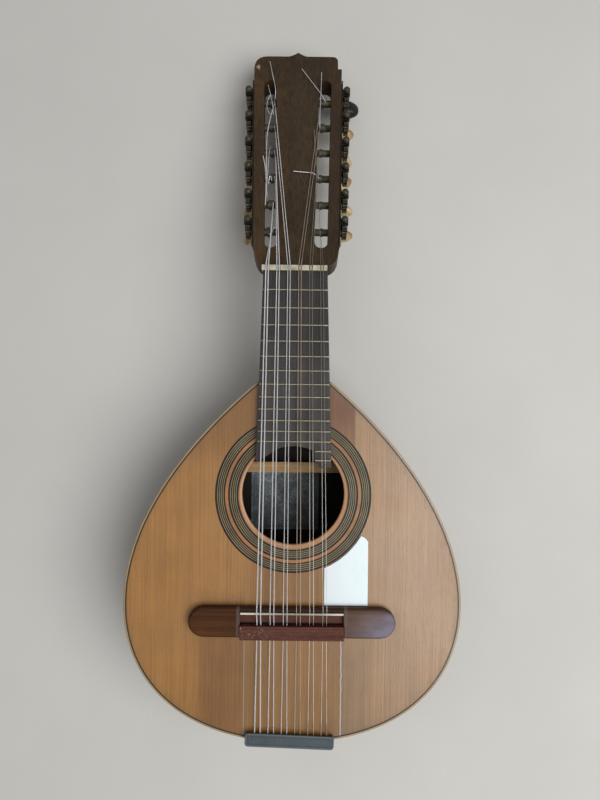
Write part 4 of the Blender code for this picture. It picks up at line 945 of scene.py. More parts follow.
@dataclass(frozen=True)
class Shell(Finish):
    """Pearly sheet: a pale ground whose tint drifts between cool green, blue and pink in soft waves."""

    base: Colour = tone(219, 229, 231)
    green: Colour = tone(211, 225, 227)
    pink: Colour = tone(227, 225, 228)
    scratch: Colour = tone(170, 172, 168)

    def colour(self, shop: Shop) -> Socket:
        """Give the drifting tint.

        Args:
            shop: The tree.

        Returns:
            The colour.
        """
        stretched = shop.place((1.0, 0.35, 1.0), turn=0.5)
        first = shop.noise(stretched, 55.0, 4.0, 0.65)
        second = shop.noise(stretched, 120.0, 3.0)
        tinted = shop.mix(shop.span(first, 0.42, 0.62), self.base, self.green)
        warmed = shop.mix(shop.span(second, 0.5, 0.68, 0.0, 0.7), tinted, self.pink)
        return shop.mix(shop.times(shop.age(40.0)["Scratches"], 0.08), warmed, self.scratch)


@dataclass(frozen=True)
class Paper(Finish):
    """The label: aged paper with a plain double border, without any words."""

    paper: Colour = tone(150, 159, 162)
    stain_and_shade: Colour = tone(56, 60, 60)
    ink: Colour = tone(58, 66, 80)
    borders: tuple[Pair, ...] = ((2.4 * MM, 0.45 * MM), (4.2 * MM, 0.22 * MM))

    def colour(self, shop: Shop) -> Socket:
        """Give stained paper, darkened towards the treble side by painted shade, with two lines at set
        distances from the nearest edge.

        Args:
            shop: The tree.

        Returns:
            The colour.
        """
        edge = shop.attribute("edge")
        cloud = shop.noise(shop.place(), 420.0, 4.0, 0.75)
        blotch = shop.age(45.0)["Blotch"]
        marked = shop.mix(shop.span(blotch, 0.2, 0.9, 0.0, 0.65), self.paper, self.stain_and_shade)
        marked = shop.mix(shop.span(cloud, 0.42, 0.62, 0.0, 0.6), marked, self.stain_and_shade)
        # Painted shade: the stain tone spreads over the label towards the treble side.
        marked = shop.mix(shop.span(shop.axes()[0], -24 * MM, 20 * MM, 0.0, 0.75), marked, self.stain_and_shade)
        for at, half in self.borders:
            off = shop.off(edge, at)
            marked = shop.mix(shop.span(off, half, half * 1.5, 0.5, 0.0), marked, self.ink)
        return marked


@dataclass(frozen=True)
class Wire(Finish):
    """String wire, plain or wound: a wound one has a ridge for each turn along its length."""

    base: Colour = tone(205, 205, 208)
    dark: Colour = tone(120, 116, 112)
    turns: float = 0.0
    head_shade_share: float = 0.0
    board_shade_share: float = 0.0
    nut_y: float = 264 * MM
    hole_y: float = 90 * MM
    ridge_depth: float = 0.08 * MM

    def colour(self, shop: Shop) -> Socket:
        """Give the wire's tone, darker between turns and in dull stretches, with painted shade over the
        head and along the fingerboard.

        Args:
            shop: The tree.

        Returns:
            The colour.
        """
        dull = shop.noise(shop.place(), 70.0, 3.0)
        base = shop.mix(shop.span(dull, 0.45, 0.75, 0.0, 0.6), self.base, self.dark)
        if self.head_shade_share:
            # Painted shade: the wire darkens beyond the nut, and towards the nut along the fingerboard.
            y = shop.axes()[1]
            beyond = shop.span(y, self.nut_y, self.nut_y + 8 * MM, 0.0, self.head_shade_share)
            dimmed = shop.span(y, self.hole_y, self.nut_y - 100 * MM, 0.0, self.board_shade_share)
            base = shop.mix(shop.math("MAXIMUM", beyond, dimmed), base, darker(self.dark, 0.3))
        if not self.turns:
            return base
        return shop.mix(shop.times(self.ridges(shop), 0.5), self.dark, base)

    def ridges(self, shop: Shop) -> Socket:
        """Give the winding: the sine of the length along the wire, so many turns to the metre."""
        angle = shop.times(shop.attribute("length"), self.turns * 2 * math.pi)
        return shop.plus(shop.times(shop.math("SINE", angle), 0.5), 1.0)

    def relief(self, shop: Shop) -> tuple[Any, float]:
        """Give the height of the winding."""
        return (self.ridges(shop), self.ridge_depth) if self.turns else (None, 0.0)


SPRUCE = Top("spruce_top", 0.42, 0.25, light=tone(164, 115, 56), dark=tone(140, 97, 45), pore=0.08,
             spacing=1300.0, figure_share=0.35, wander=0.004, blotch_depth=0.12)
ROSETTE = Rosette("rosette_inlay", 0.5, 0.03, specular=0.3)
EDGING = Edging("edge_binding", 0.45, 0.15)
WALNUT_LIGHT = tone(92, 56, 34)
WALNUT_DARK = tone(58, 34, 22)
WALNUT_SIDE = Wood("walnut_bent_side", 0.42, 0.25, specular=0.3, light=WALNUT_LIGHT, dark=WALNUT_DARK,
                   spacing=380.0, wander=0.008)
BACK_WALNUT = BackWood("walnut_back", 0.5, 0.0, specular=0.12, light=WALNUT_LIGHT, dark=WALNUT_DARK,
                       spacing=420.0, wander=0.01)
BAR_WOOD = Wood("bar_wood", 0.6, light=tone(150, 116, 72), dark=tone(112, 82, 46), spacing=800.0,
                run=Run.ACROSS, blotch_depth=0.35)
# Painted light: the back bar is the bar wood made far paler, standing in for light inside the body.
BACK_BAR_PAINTED_LIGHT = Wood("back_bar_wood_painted_light", 0.6, light=tone(216, 172, 118), dark=tone(178, 136, 86),
                     spacing=800.0, run=Run.ACROSS, blotch_depth=0.3)
CEDAR = HeadWood("dark_cedar", 0.5, 0.08, specular=0.22, light=tone(68, 52, 33), dark=tone(44, 33, 20),
                 spacing=520.0, wander=0.006, blotch_depth=0.3)
CEDAR_NECK = Wood("dark_cedar_neck", 0.5, 0.08, specular=0.22, light=tone(66, 49, 32),
                  dark=tone(42, 30, 19), spacing=480.0, wander=0.006)
EBONY = BoardWood("worn_board", 0.55, 0.04, specular=0.3, light=tone(74, 69, 66), dark=tone(48, 44, 42),
                  spacing=900.0, wander=0.002, pore=0.5, blotch_depth=0.3)
BRIDGE_WOOD = BridgeWood("bridge_wood", 0.4, 0.06, specular=0.14, light=tone(86, 48, 18),
                         dark=tone(52, 27, 9), spacing=500.0, run=Run.ACROSS, blotch_depth=0.35)
TIE_WOOD = TieWood("tie_block_wood", 0.6, 0.0, specular=0.2, light=tone(100, 57, 42), dark=tone(72, 37, 27),
                   spacing=900.0, run=Run.ACROSS, pore=0.6, blotch_depth=0.25)
BONE = Plain("aged_bone", 0.4, 0.1, base=tone(196, 188, 164), worn=tone(226, 222, 204),
             dirt=tone(104, 84, 56), dirt_share=0.65, scale=190.0)
SADDLE_BONE = SaddleBone("saddle_bone", 0.4, 0.1, base=tone(196, 190, 176), worn=tone(226, 224, 212),
                         dirt=tone(104, 96, 76), dirt_share=0.6, scale=60.0)
PEARL = Shell("pearl_sheet", 0.22, 0.5)
SLATE = CoverPaint("painted_cover", 0.5, 0.1, base=tone(62, 71, 76), worn=tone(108, 119, 124),
                   dirt=tone(44, 52, 57), dirt_share=0.5, scale=70.0)
BRASS = Plain("aged_brass", 0.45, 0.0, 0.6, base=tone(42, 41, 37), worn=tone(186, 164, 116),
              dirt=tone(20, 19, 17), dirt_share=0.8, scale=220.0, scratch_share=0.15)
ROLLER_METAL = Plain("dull_roller", 0.6, 0.0, 0.4, base=tone(92, 84, 58), worn=tone(140, 128, 94),
                     dirt=tone(22, 20, 15), dirt_share=0.85, scale=300.0, scratch_share=0.35)
FRET_METAL = Plain("fret_metal", 0.45, 0.0, 0.7, base=tone(84, 76, 60), worn=tone(226, 218, 190),
                   dirt=tone(70, 60, 44), dirt_share=0.6, scale=200.0)
CREAM = Plain("cream_button", 0.34, 0.2, base=tone(206, 184, 134), worn=tone(124, 74, 32),
              dirt=tone(146, 116, 70), dirt_share=0.6, scale=130.0, scratch_share=0.1)
BLACK = Plain("black_knob", 0.32, 0.05, specular=0.25, base=tone(10, 12, 16), worn=tone(44, 52, 64),
              dirt=tone(20, 22, 27), dirt_share=0.4, scale=120.0, scratch_share=0.2)
PAPER = Paper("label_paper", 0.85)
PLAIN_WIRE = Wire("plain_wire", 0.5, 0.0, 0.25, base=tone(214, 208, 200), dark=tone(168, 158, 146),
                  head_shade_share=0.85, board_shade_share=0.85)
WOUND_WIRE = Wire("wound_wire", 0.5, 0.0, 0.25, base=tone(236, 236, 236), dark=tone(190, 188, 188),
                  turns=4200.0)
BRONZE_WIRE = Wire("bronze_wire", 0.5, 0.0, 0.3, base=tone(204, 194, 180), dark=tone(142, 128, 110),
                   turns=2600.0, head_shade_share=0.6, board_shade_share=0.2)
DARK_WIRE = Wire("dark_wire", 0.45, 0.0, 0.8, base=tone(128, 112, 92), dark=tone(70, 58, 46))
WRAPPED_WIRE = Wire("wrapped_wire", 0.5, 0.0, 0.6, base=tone(104, 98, 88), dark=tone(50, 46, 40))
LOOSE_WIRE = Wire("loose_wire", 0.45, 0.0, 0.7, base=tone(214, 214, 218), dark=tone(140, 138, 138))


# Surfaces


def set_out(name: str, data: Any) -> Piece:
    """Put a new object into the scene.

    Args:
        name: The object's name.
        data: Its mesh, camera or lamp.

    Returns:
        The new object.
    """
    item = bpy.data.objects.new(name, data)
    bpy.context.scene.collection.objects.link(item)
    return item


def smooth(mesh: bpy.types.Mesh) -> None:
    """Shade a mesh smooth but for its sharp edges."""
    mesh.shade_smooth()
    mesh.set_sharp_from_angle(angle=SHARP_ANGLE)


def build_mesh(name: str, points: Array, faces: list, finish: Finish, rounds: bool = True) -> Piece:
    """Make a piece from points and faces, shaded smooth but for its sharp edges.

    Args:
        name: The piece's name.
        points: Its points, one a row.
        faces: The point numbers of each face.
        finish: Its finish.
        rounds: Whether its round faces look round.

    Returns:
        The new piece.
    """
    mesh = bpy.data.meshes.new(name)
    mesh.from_pydata(np.asarray(points, float).tolist(), [], faces)
    mesh.update()
    mesh.materials.append(finish.build())
    if rounds:
        smooth(mesh)
    return set_out(name, mesh)


def grid_faces(rows: int, columns: int, wrap_rows: bool, wrap_columns: bool, start: int = 0) -> Array:
    """Give the four-sided faces of a grid whose points are counted row by row.

    Args:
        rows: Number of rows of points.
        columns: Number of points in each row.
        wrap_rows: Whether the last row joins the first.
        wrap_columns: Whether the last point of a row joins its first.
        start: The number of the grid's first point.

    Returns:
        One row of four point numbers for each face.
    """
    r = np.arange(rows if wrap_rows else rows - 1)[:, None]
    c = np.arange(columns if wrap_columns else columns - 1)[None, :]
    after_r = (r + 1) % rows
    after_c = (c + 1) % columns
    corners = (r * columns + c, r * columns + after_c, after_r * columns + after_c, after_r * columns + c)
    return start + np.stack([np.broadcast_to(v, (r.size, c.size)) for v in corners], -1).reshape(-1, 4)


def skin(name: str, rings: Array, finish: Finish, wrap_rows: bool = False) -> Piece:
    """Skin a stack of closed rings, with flat ends unless the last joins the first, and face it outwards.

    Args:
        name: The piece's name.
        rings: The points, as rings by points by 3.
        finish: Its finish.
        wrap_rows: Whether the last ring joins the first.

    Returns:
        The new piece.
    """
    rows, columns = rings.shape[:2]
    faces = grid_faces(rows, columns, wrap_rows, True).tolist()
    if not wrap_rows:
        faces.append(list(range(columns - 1, -1, -1)))
        faces.append(list(range((rows - 1) * columns, rows * columns)))
    return turn_outwards(build_mesh(name, rings.reshape(-1, 3), faces, finish))


def weigh(piece: Piece, name: str, values: Array) -> None:
    """Give a piece's points a number each, under a name that its finish reads."""
    layer = piece.data.attributes.new(name, "FLOAT", "POINT")
    layer.data.foreach_set("value", np.asarray(values, np.float32).ravel())


def turn_outwards(piece: Piece) -> Piece:
    """Turn a closed piece's faces outwards if its signed volume says that they point in.

    The volume is a sixth of the sum, over the triangles of each face, of the product of their corners.

    Args:
        piece: The closed piece.

    Returns:
        The same piece.
    """
    mesh = piece.data
    mesh.calc_loop_triangles()
    corners = np.empty(len(mesh.loop_triangles) * 3, np.int32)
    mesh.loop_triangles.foreach_get("vertices", corners)
    points = np.empty(len(mesh.vertices) * 3)
    mesh.vertices.foreach_get("co", points)
    a, b, c = (points.reshape(-1, 3)[corners.reshape(-1, 3)[:, k]] for k in range(3))
    if np.einsum("ij,ij->i", a, np.cross(b, c)).sum() < 0:
        mesh.flip_normals()
    return piece


def curve(start: Sequence[float], first: Sequence[float], second: Sequence[float], end: Sequence[float],
          steps: int) -> Array:
    """Sample a cubic curve: each corner is weighed by its share of (1 - t + t) to the third power.

    Args:
        start: The first point.
        first: The first handle.
        second: The second handle.
        end: The last point.
        steps: The number of points.

    Returns:
        The points, one a row.
    """
    t = np.linspace(0, 1, steps)[:, None]
    a, b, c, d = (np.asarray(p, float) for p in (start, first, second, end))
    return (1 - t) ** 3 * a + 3 * t * (1 - t) ** 2 * b + 3 * t * t * (1 - t) * c + t ** 3 * d


def inset(loop: Array, distance: float) -> Array:
    """Move a closed loop inwards by a distance.

    Each point goes along the mean of its two edges' inner normals, lengthened so that both edges move
    by the distance.

    Args:
        loop: The loop's points of x and y.
        distance: How far inwards, in metres.

    Returns:
        The new loop.
    """
    after = np.roll(loop, -1, axis=0) - loop
    after /= np.linalg.norm(after, axis=1, keepdims=True)
    before = np.roll(after, 1, axis=0)
    normal = np.stack([-after[:, 1], after[:, 0]], -1)
    mean = normal + np.stack([-before[:, 1], before[:, 0]], -1)
    mean /= np.linalg.norm(mean, axis=1, keepdims=True)
    reach = distance / np.maximum((mean * normal).sum(1), 0.35)
    return loop + mean * reach[:, None]


def whole_turn(sides: int) -> Array:
    """Give the angles of a full turn in even steps."""
    return np.linspace(0, 2 * math.pi, sides, endpoint=False)


def lift(loop: Array, z: Any) -> Array:
    """Give a flat loop of x and y a height."""
    return np.concatenate([loop, np.broadcast_to(np.asarray(z, float).reshape(-1, 1), (len(loop), 1))], 1)


def rounded(bottom: float, top: float, radius: float, steps: int = 4, lower: bool = False) -> list[Pair]:
    """Give the (inset, height) levels of a slab whose upper edge, or both, is a quarter round.

    Args:
        bottom: The lower face's height.
        top: The upper face's height.
        radius: The rounding's radius.
        steps: The faces across the rounding.
        lower: Whether the lower edge is round too.

    Returns:
        The levels, from the bottom up.
    """
    turn = np.linspace(0, math.pi / 2, steps + 1)
    upper = [(radius * (1 - math.cos(a)), top - radius * (1 - math.sin(a))) for a in turn]
    if not lower:
        return [(0.0, bottom)] + upper
    under = [(radius * (1 - math.cos(a)), bottom + radius * (1 - math.sin(a))) for a in turn[::-1]]
    return under + upper


def slab(name: str, loop: Array, levels: Sequence[Pair], finish: Finish) -> Piece:
    """Make a flat solid whose outline is moved inwards by each level's inset at its height."""
    rings = np.stack([lift(inset(loop, away) if away else loop, z) for away, z in levels])
    return skin(name, rings, finish)


def tube(name: str, path: Array, radius: Any, finish: Finish, sides: int = 10) -> Piece:
    """Carry a circle along a path and close its ends.

    The circle's first axis is the path's direction crossed with world Z, or with X for a path that runs
    near Z, and the second is square to both. The points carry the length along the path.

    Args:
        name: The piece's name.
        path: The path's points, one a row.
        radius: The radius, one or one for each point.
        finish: Its finish.
        sides: The number of sides.

    Returns:
        The new piece.
    """
    path = np.asarray(path, float)
    run = np.gradient(path, axis=0)
    run /= np.linalg.norm(run, axis=1, keepdims=True)
    guide = np.array([0.0, 0.0, 1.0]) if np.abs(run[:, 2]).max() < 0.85 else np.array([1.0, 0.0, 0.0])
    first = np.cross(run, guide)
    first /= np.linalg.norm(first, axis=1, keepdims=True)
    second = np.cross(first, run)
    turn = whole_turn(sides)
    size = np.broadcast_to(np.asarray(radius, float).reshape(-1, 1, 1), (len(path), 1, 1))
    ring = first[:, None] * np.cos(turn)[None, :, None] + second[:, None] * np.sin(turn)[None, :, None]
    piece = skin(name, path[:, None] + size * ring, finish)
    steps = np.concatenate([[0], np.cumsum(np.linalg.norm(np.diff(path, axis=0), axis=1))])
    weigh(piece, "length", np.repeat(steps, sides))
    return piece


def smooth_path(points: Sequence[Sequence[float]], step: float = 1.5 * MM, ease: int = 3) -> Array:
    """Resample a route of straight runs at even steps and round its corners by a running mean.

    Args:
        points: The route's corners.
        step: The distance between points.
        ease: How often the mean is taken.

    Returns:
        The path's points, one a row.
    """
    route = np.asarray(points, float)
    run = np.concatenate([[0], np.cumsum(np.linalg.norm(np.diff(route, axis=0), axis=1))])
    count = max(int(run[-1] / step), 8)
    at = np.linspace(0, run[-1], count)
    path = np.stack([np.interp(at, run, route[:, k]) for k in range(3)], -1)
    for _ in range(ease):
        path[1:-1] = (path[:-2] + path[1:-1] + path[2:]) / 3
    return path


def circle(radius: Any, turn: Array, z: Any) -> Array:
    """Give the points at a radius about Z for each angle, at a height."""
    x = radius * np.cos(turn)
    return np.stack([x, radius * np.sin(turn), np.broadcast_to(z, x.shape)], -1)


def lathe(profile: Sequence[Pair], sides: int = 24) -> Array:
    """Turn a profile of (radius, height) about Z, as rings of points."""
    shape = np.asarray(profile, float)
    return circle(shape[:, :1], whole_turn(sides), shape[:, 1:])


def moved(rings: Array, matrix: Matrix) -> Array:
    """Carry an array of points by a placing."""
    turn = np.array(matrix.to_3x3())
    return rings @ turn.T + np.array(matrix.translation)


def hand_in(piece: Piece, body: str, slot: str, *nodes: str) -> None:
    """Make a piece ride on its body, and hide the nodes that it stands for.

    Args:
        piece: The piece.
        body: The body that it moves with.
        slot: Not used.
        nodes: The nodes that it replaces.
    """
    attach(piece, body)
    if nodes:
        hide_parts(*nodes)
    LOG.info("%s rides on %s", piece.name, body)


def dress(node: str, finish: Finish) -> None:
    """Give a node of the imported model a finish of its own."""
    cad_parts[node].data.materials.clear()
    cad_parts[node].data.materials.append(finish.build())


# The instrument


@dataclass
class Pear:
    """The body's outline: half of a pear as two cubic curves, mirrored to the bass side."""

    tail_y: float = low("back").y
    half_width: float = high("back").x
    widest_y: float = 4 * MM
    shoulder_y: float = high("back").y
    shoulder_x: float = 28 * MM
    tail_fullness: float = 82 * MM
    hip_fullness: float = 62 * MM
    waist_fullness: float = 66 * MM
    shoulder_fullness: float = 68 * MM
    shoulder_angle: float = math.radians(40.5)
    steps: int = 90
    neck_steps: int = 25

    def half(self) -> Array:
        """Give the treble half, from the tail's middle to the shoulder.

        Returns:
            The points of x and y.
        """
        wide = (self.half_width, self.widest_y)
        falling = (self.shoulder_x + self.shoulder_fullness * math.cos(self.shoulder_angle),
                   self.shoulder_y - self.shoulder_fullness * math.sin(self.shoulder_angle))
        hip = curve((0, self.tail_y), (self.tail_fullness, self.tail_y),
                    (self.half_width, self.widest_y - self.hip_fullness), wide, self.steps)
        flank = curve(wide, (self.half_width, self.widest_y + self.waist_fullness), falling,
                      (self.shoulder_x, self.shoulder_y), self.steps)
        return np.concatenate([hip[:-1], flank])

    def loop(self) -> Array:
        """Give the whole outline, anticlockwise from the tail's middle.

        Returns:
            The points of x and y.
        """
        treble = self.half()
        neck = np.stack([np.linspace(self.shoulder_x, -self.shoulder_x, self.neck_steps),
                         np.full(self.neck_steps, self.shoulder_y)], -1)
        bass = treble[::-1] * (-1, 1)
        return np.concatenate([treble, neck[1:-1], bass[:-1]])

    def open_count(self) -> int:
        """Give how many points of the outline belong to the treble half."""
        return 2 * self.steps - 1


@dataclass
class SoundBox:
    """The body: soundboard with its rosette and binding, sides, back, and what shows inside."""

    pear: Pear = field(default_factory=Pear)
    top_z: float = high("soundboard").z
    board_z: float = low("soundboard").z
    board_inset: float = 2.5 * MM
    hole_radius: float = 39.2 * MM
    hole_y: float = 89.7 * MM
    rosette_y: float = 88.6 * MM
    rosette_inner: float = 41.6 * MM
    rosette_outer: float = 60 * MM
    rosette_gap: float = 0.12 * MM
    groove: float = 1.2 * MM
    edge_round: float = 0.9 * MM
    shares_out: tuple[float, ...] = (0.25, 0.5, 0.75)
    rim_rows: Pair = (5 * MM, 2 * MM)
    near_rim: float = 0.35
    lip_share: float = 0.8
    rosette_depth: float = 1 * MM
    rosette_sides: int = 192
    binding_width: float = 2.3 * MM
    binding_round: float = 0.6 * MM
    throat_x: float = 11.3 * MM
    tail_joint: float = 0.08 * MM
    label_x: Pair = (-38 * MM, 22 * MM)
    label_y: Pair = (46 * MM, 97 * MM)
    label_grid: tuple[int, int] = (61, 53)
    label_lift: float = 0.12 * MM
    label_wave: float = 0.05 * MM
    label_waves: Pair = (300, 260)
    label_gap: float = 0.02 * MM
    plain_bars: tuple[str, ...] = ("soundboard_bar_upper", "soundboard_bar_lower", "tail_block",
                                   "top_lining", "back_lining")
    rib_thickness: float = 2.2 * MM
    back_round: float = 0.9 * MM

    def board(self) -> None:
        """Make the soundboard.

        Each point of the outline has a partner on the hole in the same direction from its middle. A
        closed profile runs from the hole's lower edge up, out over the top with the rosette's groove,
        down the rim and back below; each profile point is a circle or an inset outline.
        """
        loop = inset(self.pear.loop(), self.board_inset)
        centre = np.array([0, self.hole_y])
        middle = np.array([0, self.rosette_y])
        ray = loop - centre
        ray /= np.linalg.norm(ray, axis=1, keepdims=True)
        groove_in = self.rosette_inner - self.rosette_gap
        groove_out = self.rosette_outer + self.rosette_gap
        floor = self.top_z - self.groove
        soft = self.edge_round
        hole = [(self.hole_radius, self.board_z), (self.hole_radius, self.top_z - soft),
                (self.hole_radius + 0.3 * soft, self.top_z - 0.3 * soft),
                (self.hole_radius + soft, self.top_z)]
        grooved = [(groove_in, self.top_z), (groove_in, floor),
                   (groove_out, floor), (groove_out, self.top_z)]
        rings = [lift(centre + ray * radius, z) for radius, z in hole]
        rings += [lift(middle + ray * radius, z) for radius, z in grooved]
        for share in self.shares_out:
            rings.append(lift((middle + ray * groove_out) * (1 - share) + loop * share, self.top_z))
        rings += [lift(inset(loop, away), self.top_z) for away in self.rim_rows]
        rings += [lift(loop, self.top_z), lift(loop, self.board_z)]
        piece = skin("spruce_soundboard", np.stack(rings), SPRUCE, wrap_rows=True)
        rim = np.zeros((len(rings), len(loop)))
        rim[0] = 1.0
        rim[-2:] = 1.0
        rim[-3] = self.near_rim
        weigh(piece, "rim", rim)
        lip = np.zeros((len(rings), len(loop)))
        lip[1:len(hole) + 1] = self.lip_share
        weigh(piece, "lip", lip)
        hand_in(piece, "body", "spruce", "soundboard")

    def rosette(self) -> None:
        """Make the inlaid rings: a closed band round the hole, its top level with the soundboard."""
        bottom = self.top_z - self.rosette_depth
        profile = [(self.rosette_inner, bottom), (self.rosette_outer, bottom),
                   (self.rosette_outer, self.top_z), (self.rosette_inner, self.top_z)]
        rings = lathe(profile, self.rosette_sides) + np.array([0, self.rosette_y, 0])
        piece = skin("rosette_rings", rings, ROSETTE, wrap_rows=True)
        hand_in(piece, "body", "inlay", "rosette")

    def strip(self, name: str, section: Sequence[Pair], finish: Finish) -> Piece:
        """Carry a closed section of (inset, height) round the body, open at the neck.

        Args:
            name: The piece's name.
            section: The corners of (inset, height).
            finish: Its finish.

        Returns:
            The new piece.
        """
        loop = self.pear.loop()
        count = self.pear.open_count()
        order = np.concatenate([np.arange(len(loop) - count + 1, len(loop)), np.arange(count)])
        rings = np.stack([lift(inset(loop, away), z)[order] for away, z in section], 1)
        return skin(name, rings, finish)

    def binding(self) -> None:
        """Make the pale binding with its black line, its outer edge rounded by wear."""
        soft = self.binding_round
        section = [(0, self.board_z), (0, self.top_z - soft), (0.3 * soft, self.top_z - 0.3 * soft),
                   (soft, self.top_z), (1.3 * MM, self.top_z), (1.6 * MM, self.top_z),
                   (self.binding_width, self.top_z), (self.binding_width, self.board_z)]
        piece = self.strip("edge_binding_strip", section, EDGING)
        across = np.array([away / self.binding_width for away, _ in section])
        rings = len(piece.data.vertices) // len(section)
        weigh(piece, "across", np.tile(across, rings))
        hand_in(piece, "body", "pale_wood", "top_binding")

    def ribs(self) -> None:
        """Make the two bent sides, with a thin line between them at the tail."""
        bottom = low("rib_right").z
        top = high("rib_right").z
        half = self.pear.half()
        throat = np.array([[self.throat_x, self.pear.shoulder_y]])
        outer = np.concatenate([half, throat])
        closed = np.concatenate([outer, [[self.throat_x, 0], [0, 0]]])
        turned = inset(closed, self.rib_thickness)[:len(outer)]
        turned[0] = (0, outer[0][1] + self.rib_thickness)
        outer[0][0] = turned[0][0] = self.tail_joint
        for side, name in ((1, "rib_right"), (-1, "rib_left")):
            mirror = (side, 1)
            rings = np.stack([lift(outer * mirror, bottom), lift(outer * mirror, top),
                              lift(turned * mirror, top), lift(turned * mirror, bottom)], 1)
            hand_in(skin(f"bent_{name}", rings, WALNUT_SIDE), "body", "walnut", name)

    def back(self) -> None:
        """Make the flat back with softened edges, and the label that is glued inside it."""
        loop = self.pear.loop()
        levels = rounded(low("back").z, high("back").z, self.back_round, lower=True)
        hand_in(slab("flat_back", loop, levels, BACK_WALNUT), "body", "walnut", "back")
        self.label(high("back").z)

    def label(self, z: float) -> None:
        """Make the paper label: a thin grid that carries each point's distance to the nearest edge.

        Args:
            z: The height of the back's inner face.
        """
        (left, right), (bottom, top) = self.label_x, self.label_y
        x, y = np.meshgrid(np.linspace(left, right, self.label_grid[0]),
                           np.linspace(bottom, top, self.label_grid[1]))
        waves = np.sin(x * self.label_waves[0]) * np.sin(y * self.label_waves[1])
        lift_off = self.label_lift + self.label_wave * waves
        upper = np.stack([x, y, z + lift_off + self.label_lift], -1)
        under = np.stack([x, y, np.full_like(x, z + self.label_gap)], -1)
        edge = np.minimum(np.minimum(x - left, right - x), np.minimum(y - bottom, top - y))
        rows, columns = x.shape
        top_faces = grid_faces(rows, columns, False, False)
        under_faces = grid_faces(rows, columns, False, False, rows * columns)[:, ::-1]
        number = np.arange(rows * columns).reshape(rows, columns)
        rim = np.concatenate([number[0, :-1], number[:-1, -1], number[-1, :0:-1], number[:0:-1, 0]])
        after = np.roll(rim, -1)
        wall = np.stack([rim, rim + rows * columns, after + rows * columns, after], -1)
        faces = np.concatenate([top_faces, under_faces, wall]).tolist()
        points = np.concatenate([upper.reshape(-1, 3), under.reshape(-1, 3)])
        piece = build_mesh("paper_label", points, faces, PAPER)
        weigh(piece, "edge", np.concatenate([edge.ravel(), edge.ravel()]))
        hand_in(turn_outwards(piece), "body", "bone")

    def build(self) -> None:
        """Make every piece of the body and dress what stays."""
        self.board()
        self.rosette()
        self.binding()
        self.ribs()
        self.back()
        dress("back_bar", BACK_BAR_PAINTED_LIGHT)
        for node in self.plain_bars:
            dress(node, BAR_WOOD)


def softened(node: str, name: str, finish: Finish, width: float, steps: int = 2) -> Piece:
    """Copy a node's solid, weld it, clear the edges inside its flat faces and round its sharp edges.

    Args:
        node: The node whose solid is copied.
        name: The new piece's name.
        finish: The new piece's finish.
        width: How far the rounding reaches from each edge, in metres.
        steps: The number of faces across the rounding.

    Returns:
        The new piece.
    """
    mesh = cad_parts[node].data.copy()
    mesh.name = name
    mesh.materials.clear()
    work = bmesh.new()
    work.from_mesh(mesh)
    bmesh.ops.remove_doubles(work, verts=work.verts, dist=WELD_DISTANCE)
    bmesh.ops.dissolve_limit(work, angle_limit=FLAT_ANGLE, verts=work.verts, edges=work.edges)
    sharp = [e for e in work.edges if len(e.link_faces) == 2 and e.calc_face_angle() > BEVEL_ANGLE]
    bmesh.ops.bevel(work, geom=sharp, offset=width, segments=steps, profile=0.5, affect="EDGES",
                    clamp_overlap=True)
    for face in work.faces:
        face.material_index = 0
    work.to_mesh(mesh)
    work.free()
    mesh.materials.append(finish.build())
    smooth(mesh)
    piece = set_out(name, mesh)
    weighted = piece.modifiers.new("flat_faces_lead", "WEIGHTED_NORMAL")
    weighted.keep_sharp = True
    weighted.weight = 100
    return piece


def hand_in_softened(node: str, name: str, finish: Finish, slot: str, width: float, steps: int = 2) -> None:
    """Make a softened copy of a node's solid and let it stand for the node on the body."""
    hand_in(softened(node, name, finish, width, steps), "body", slot, node)


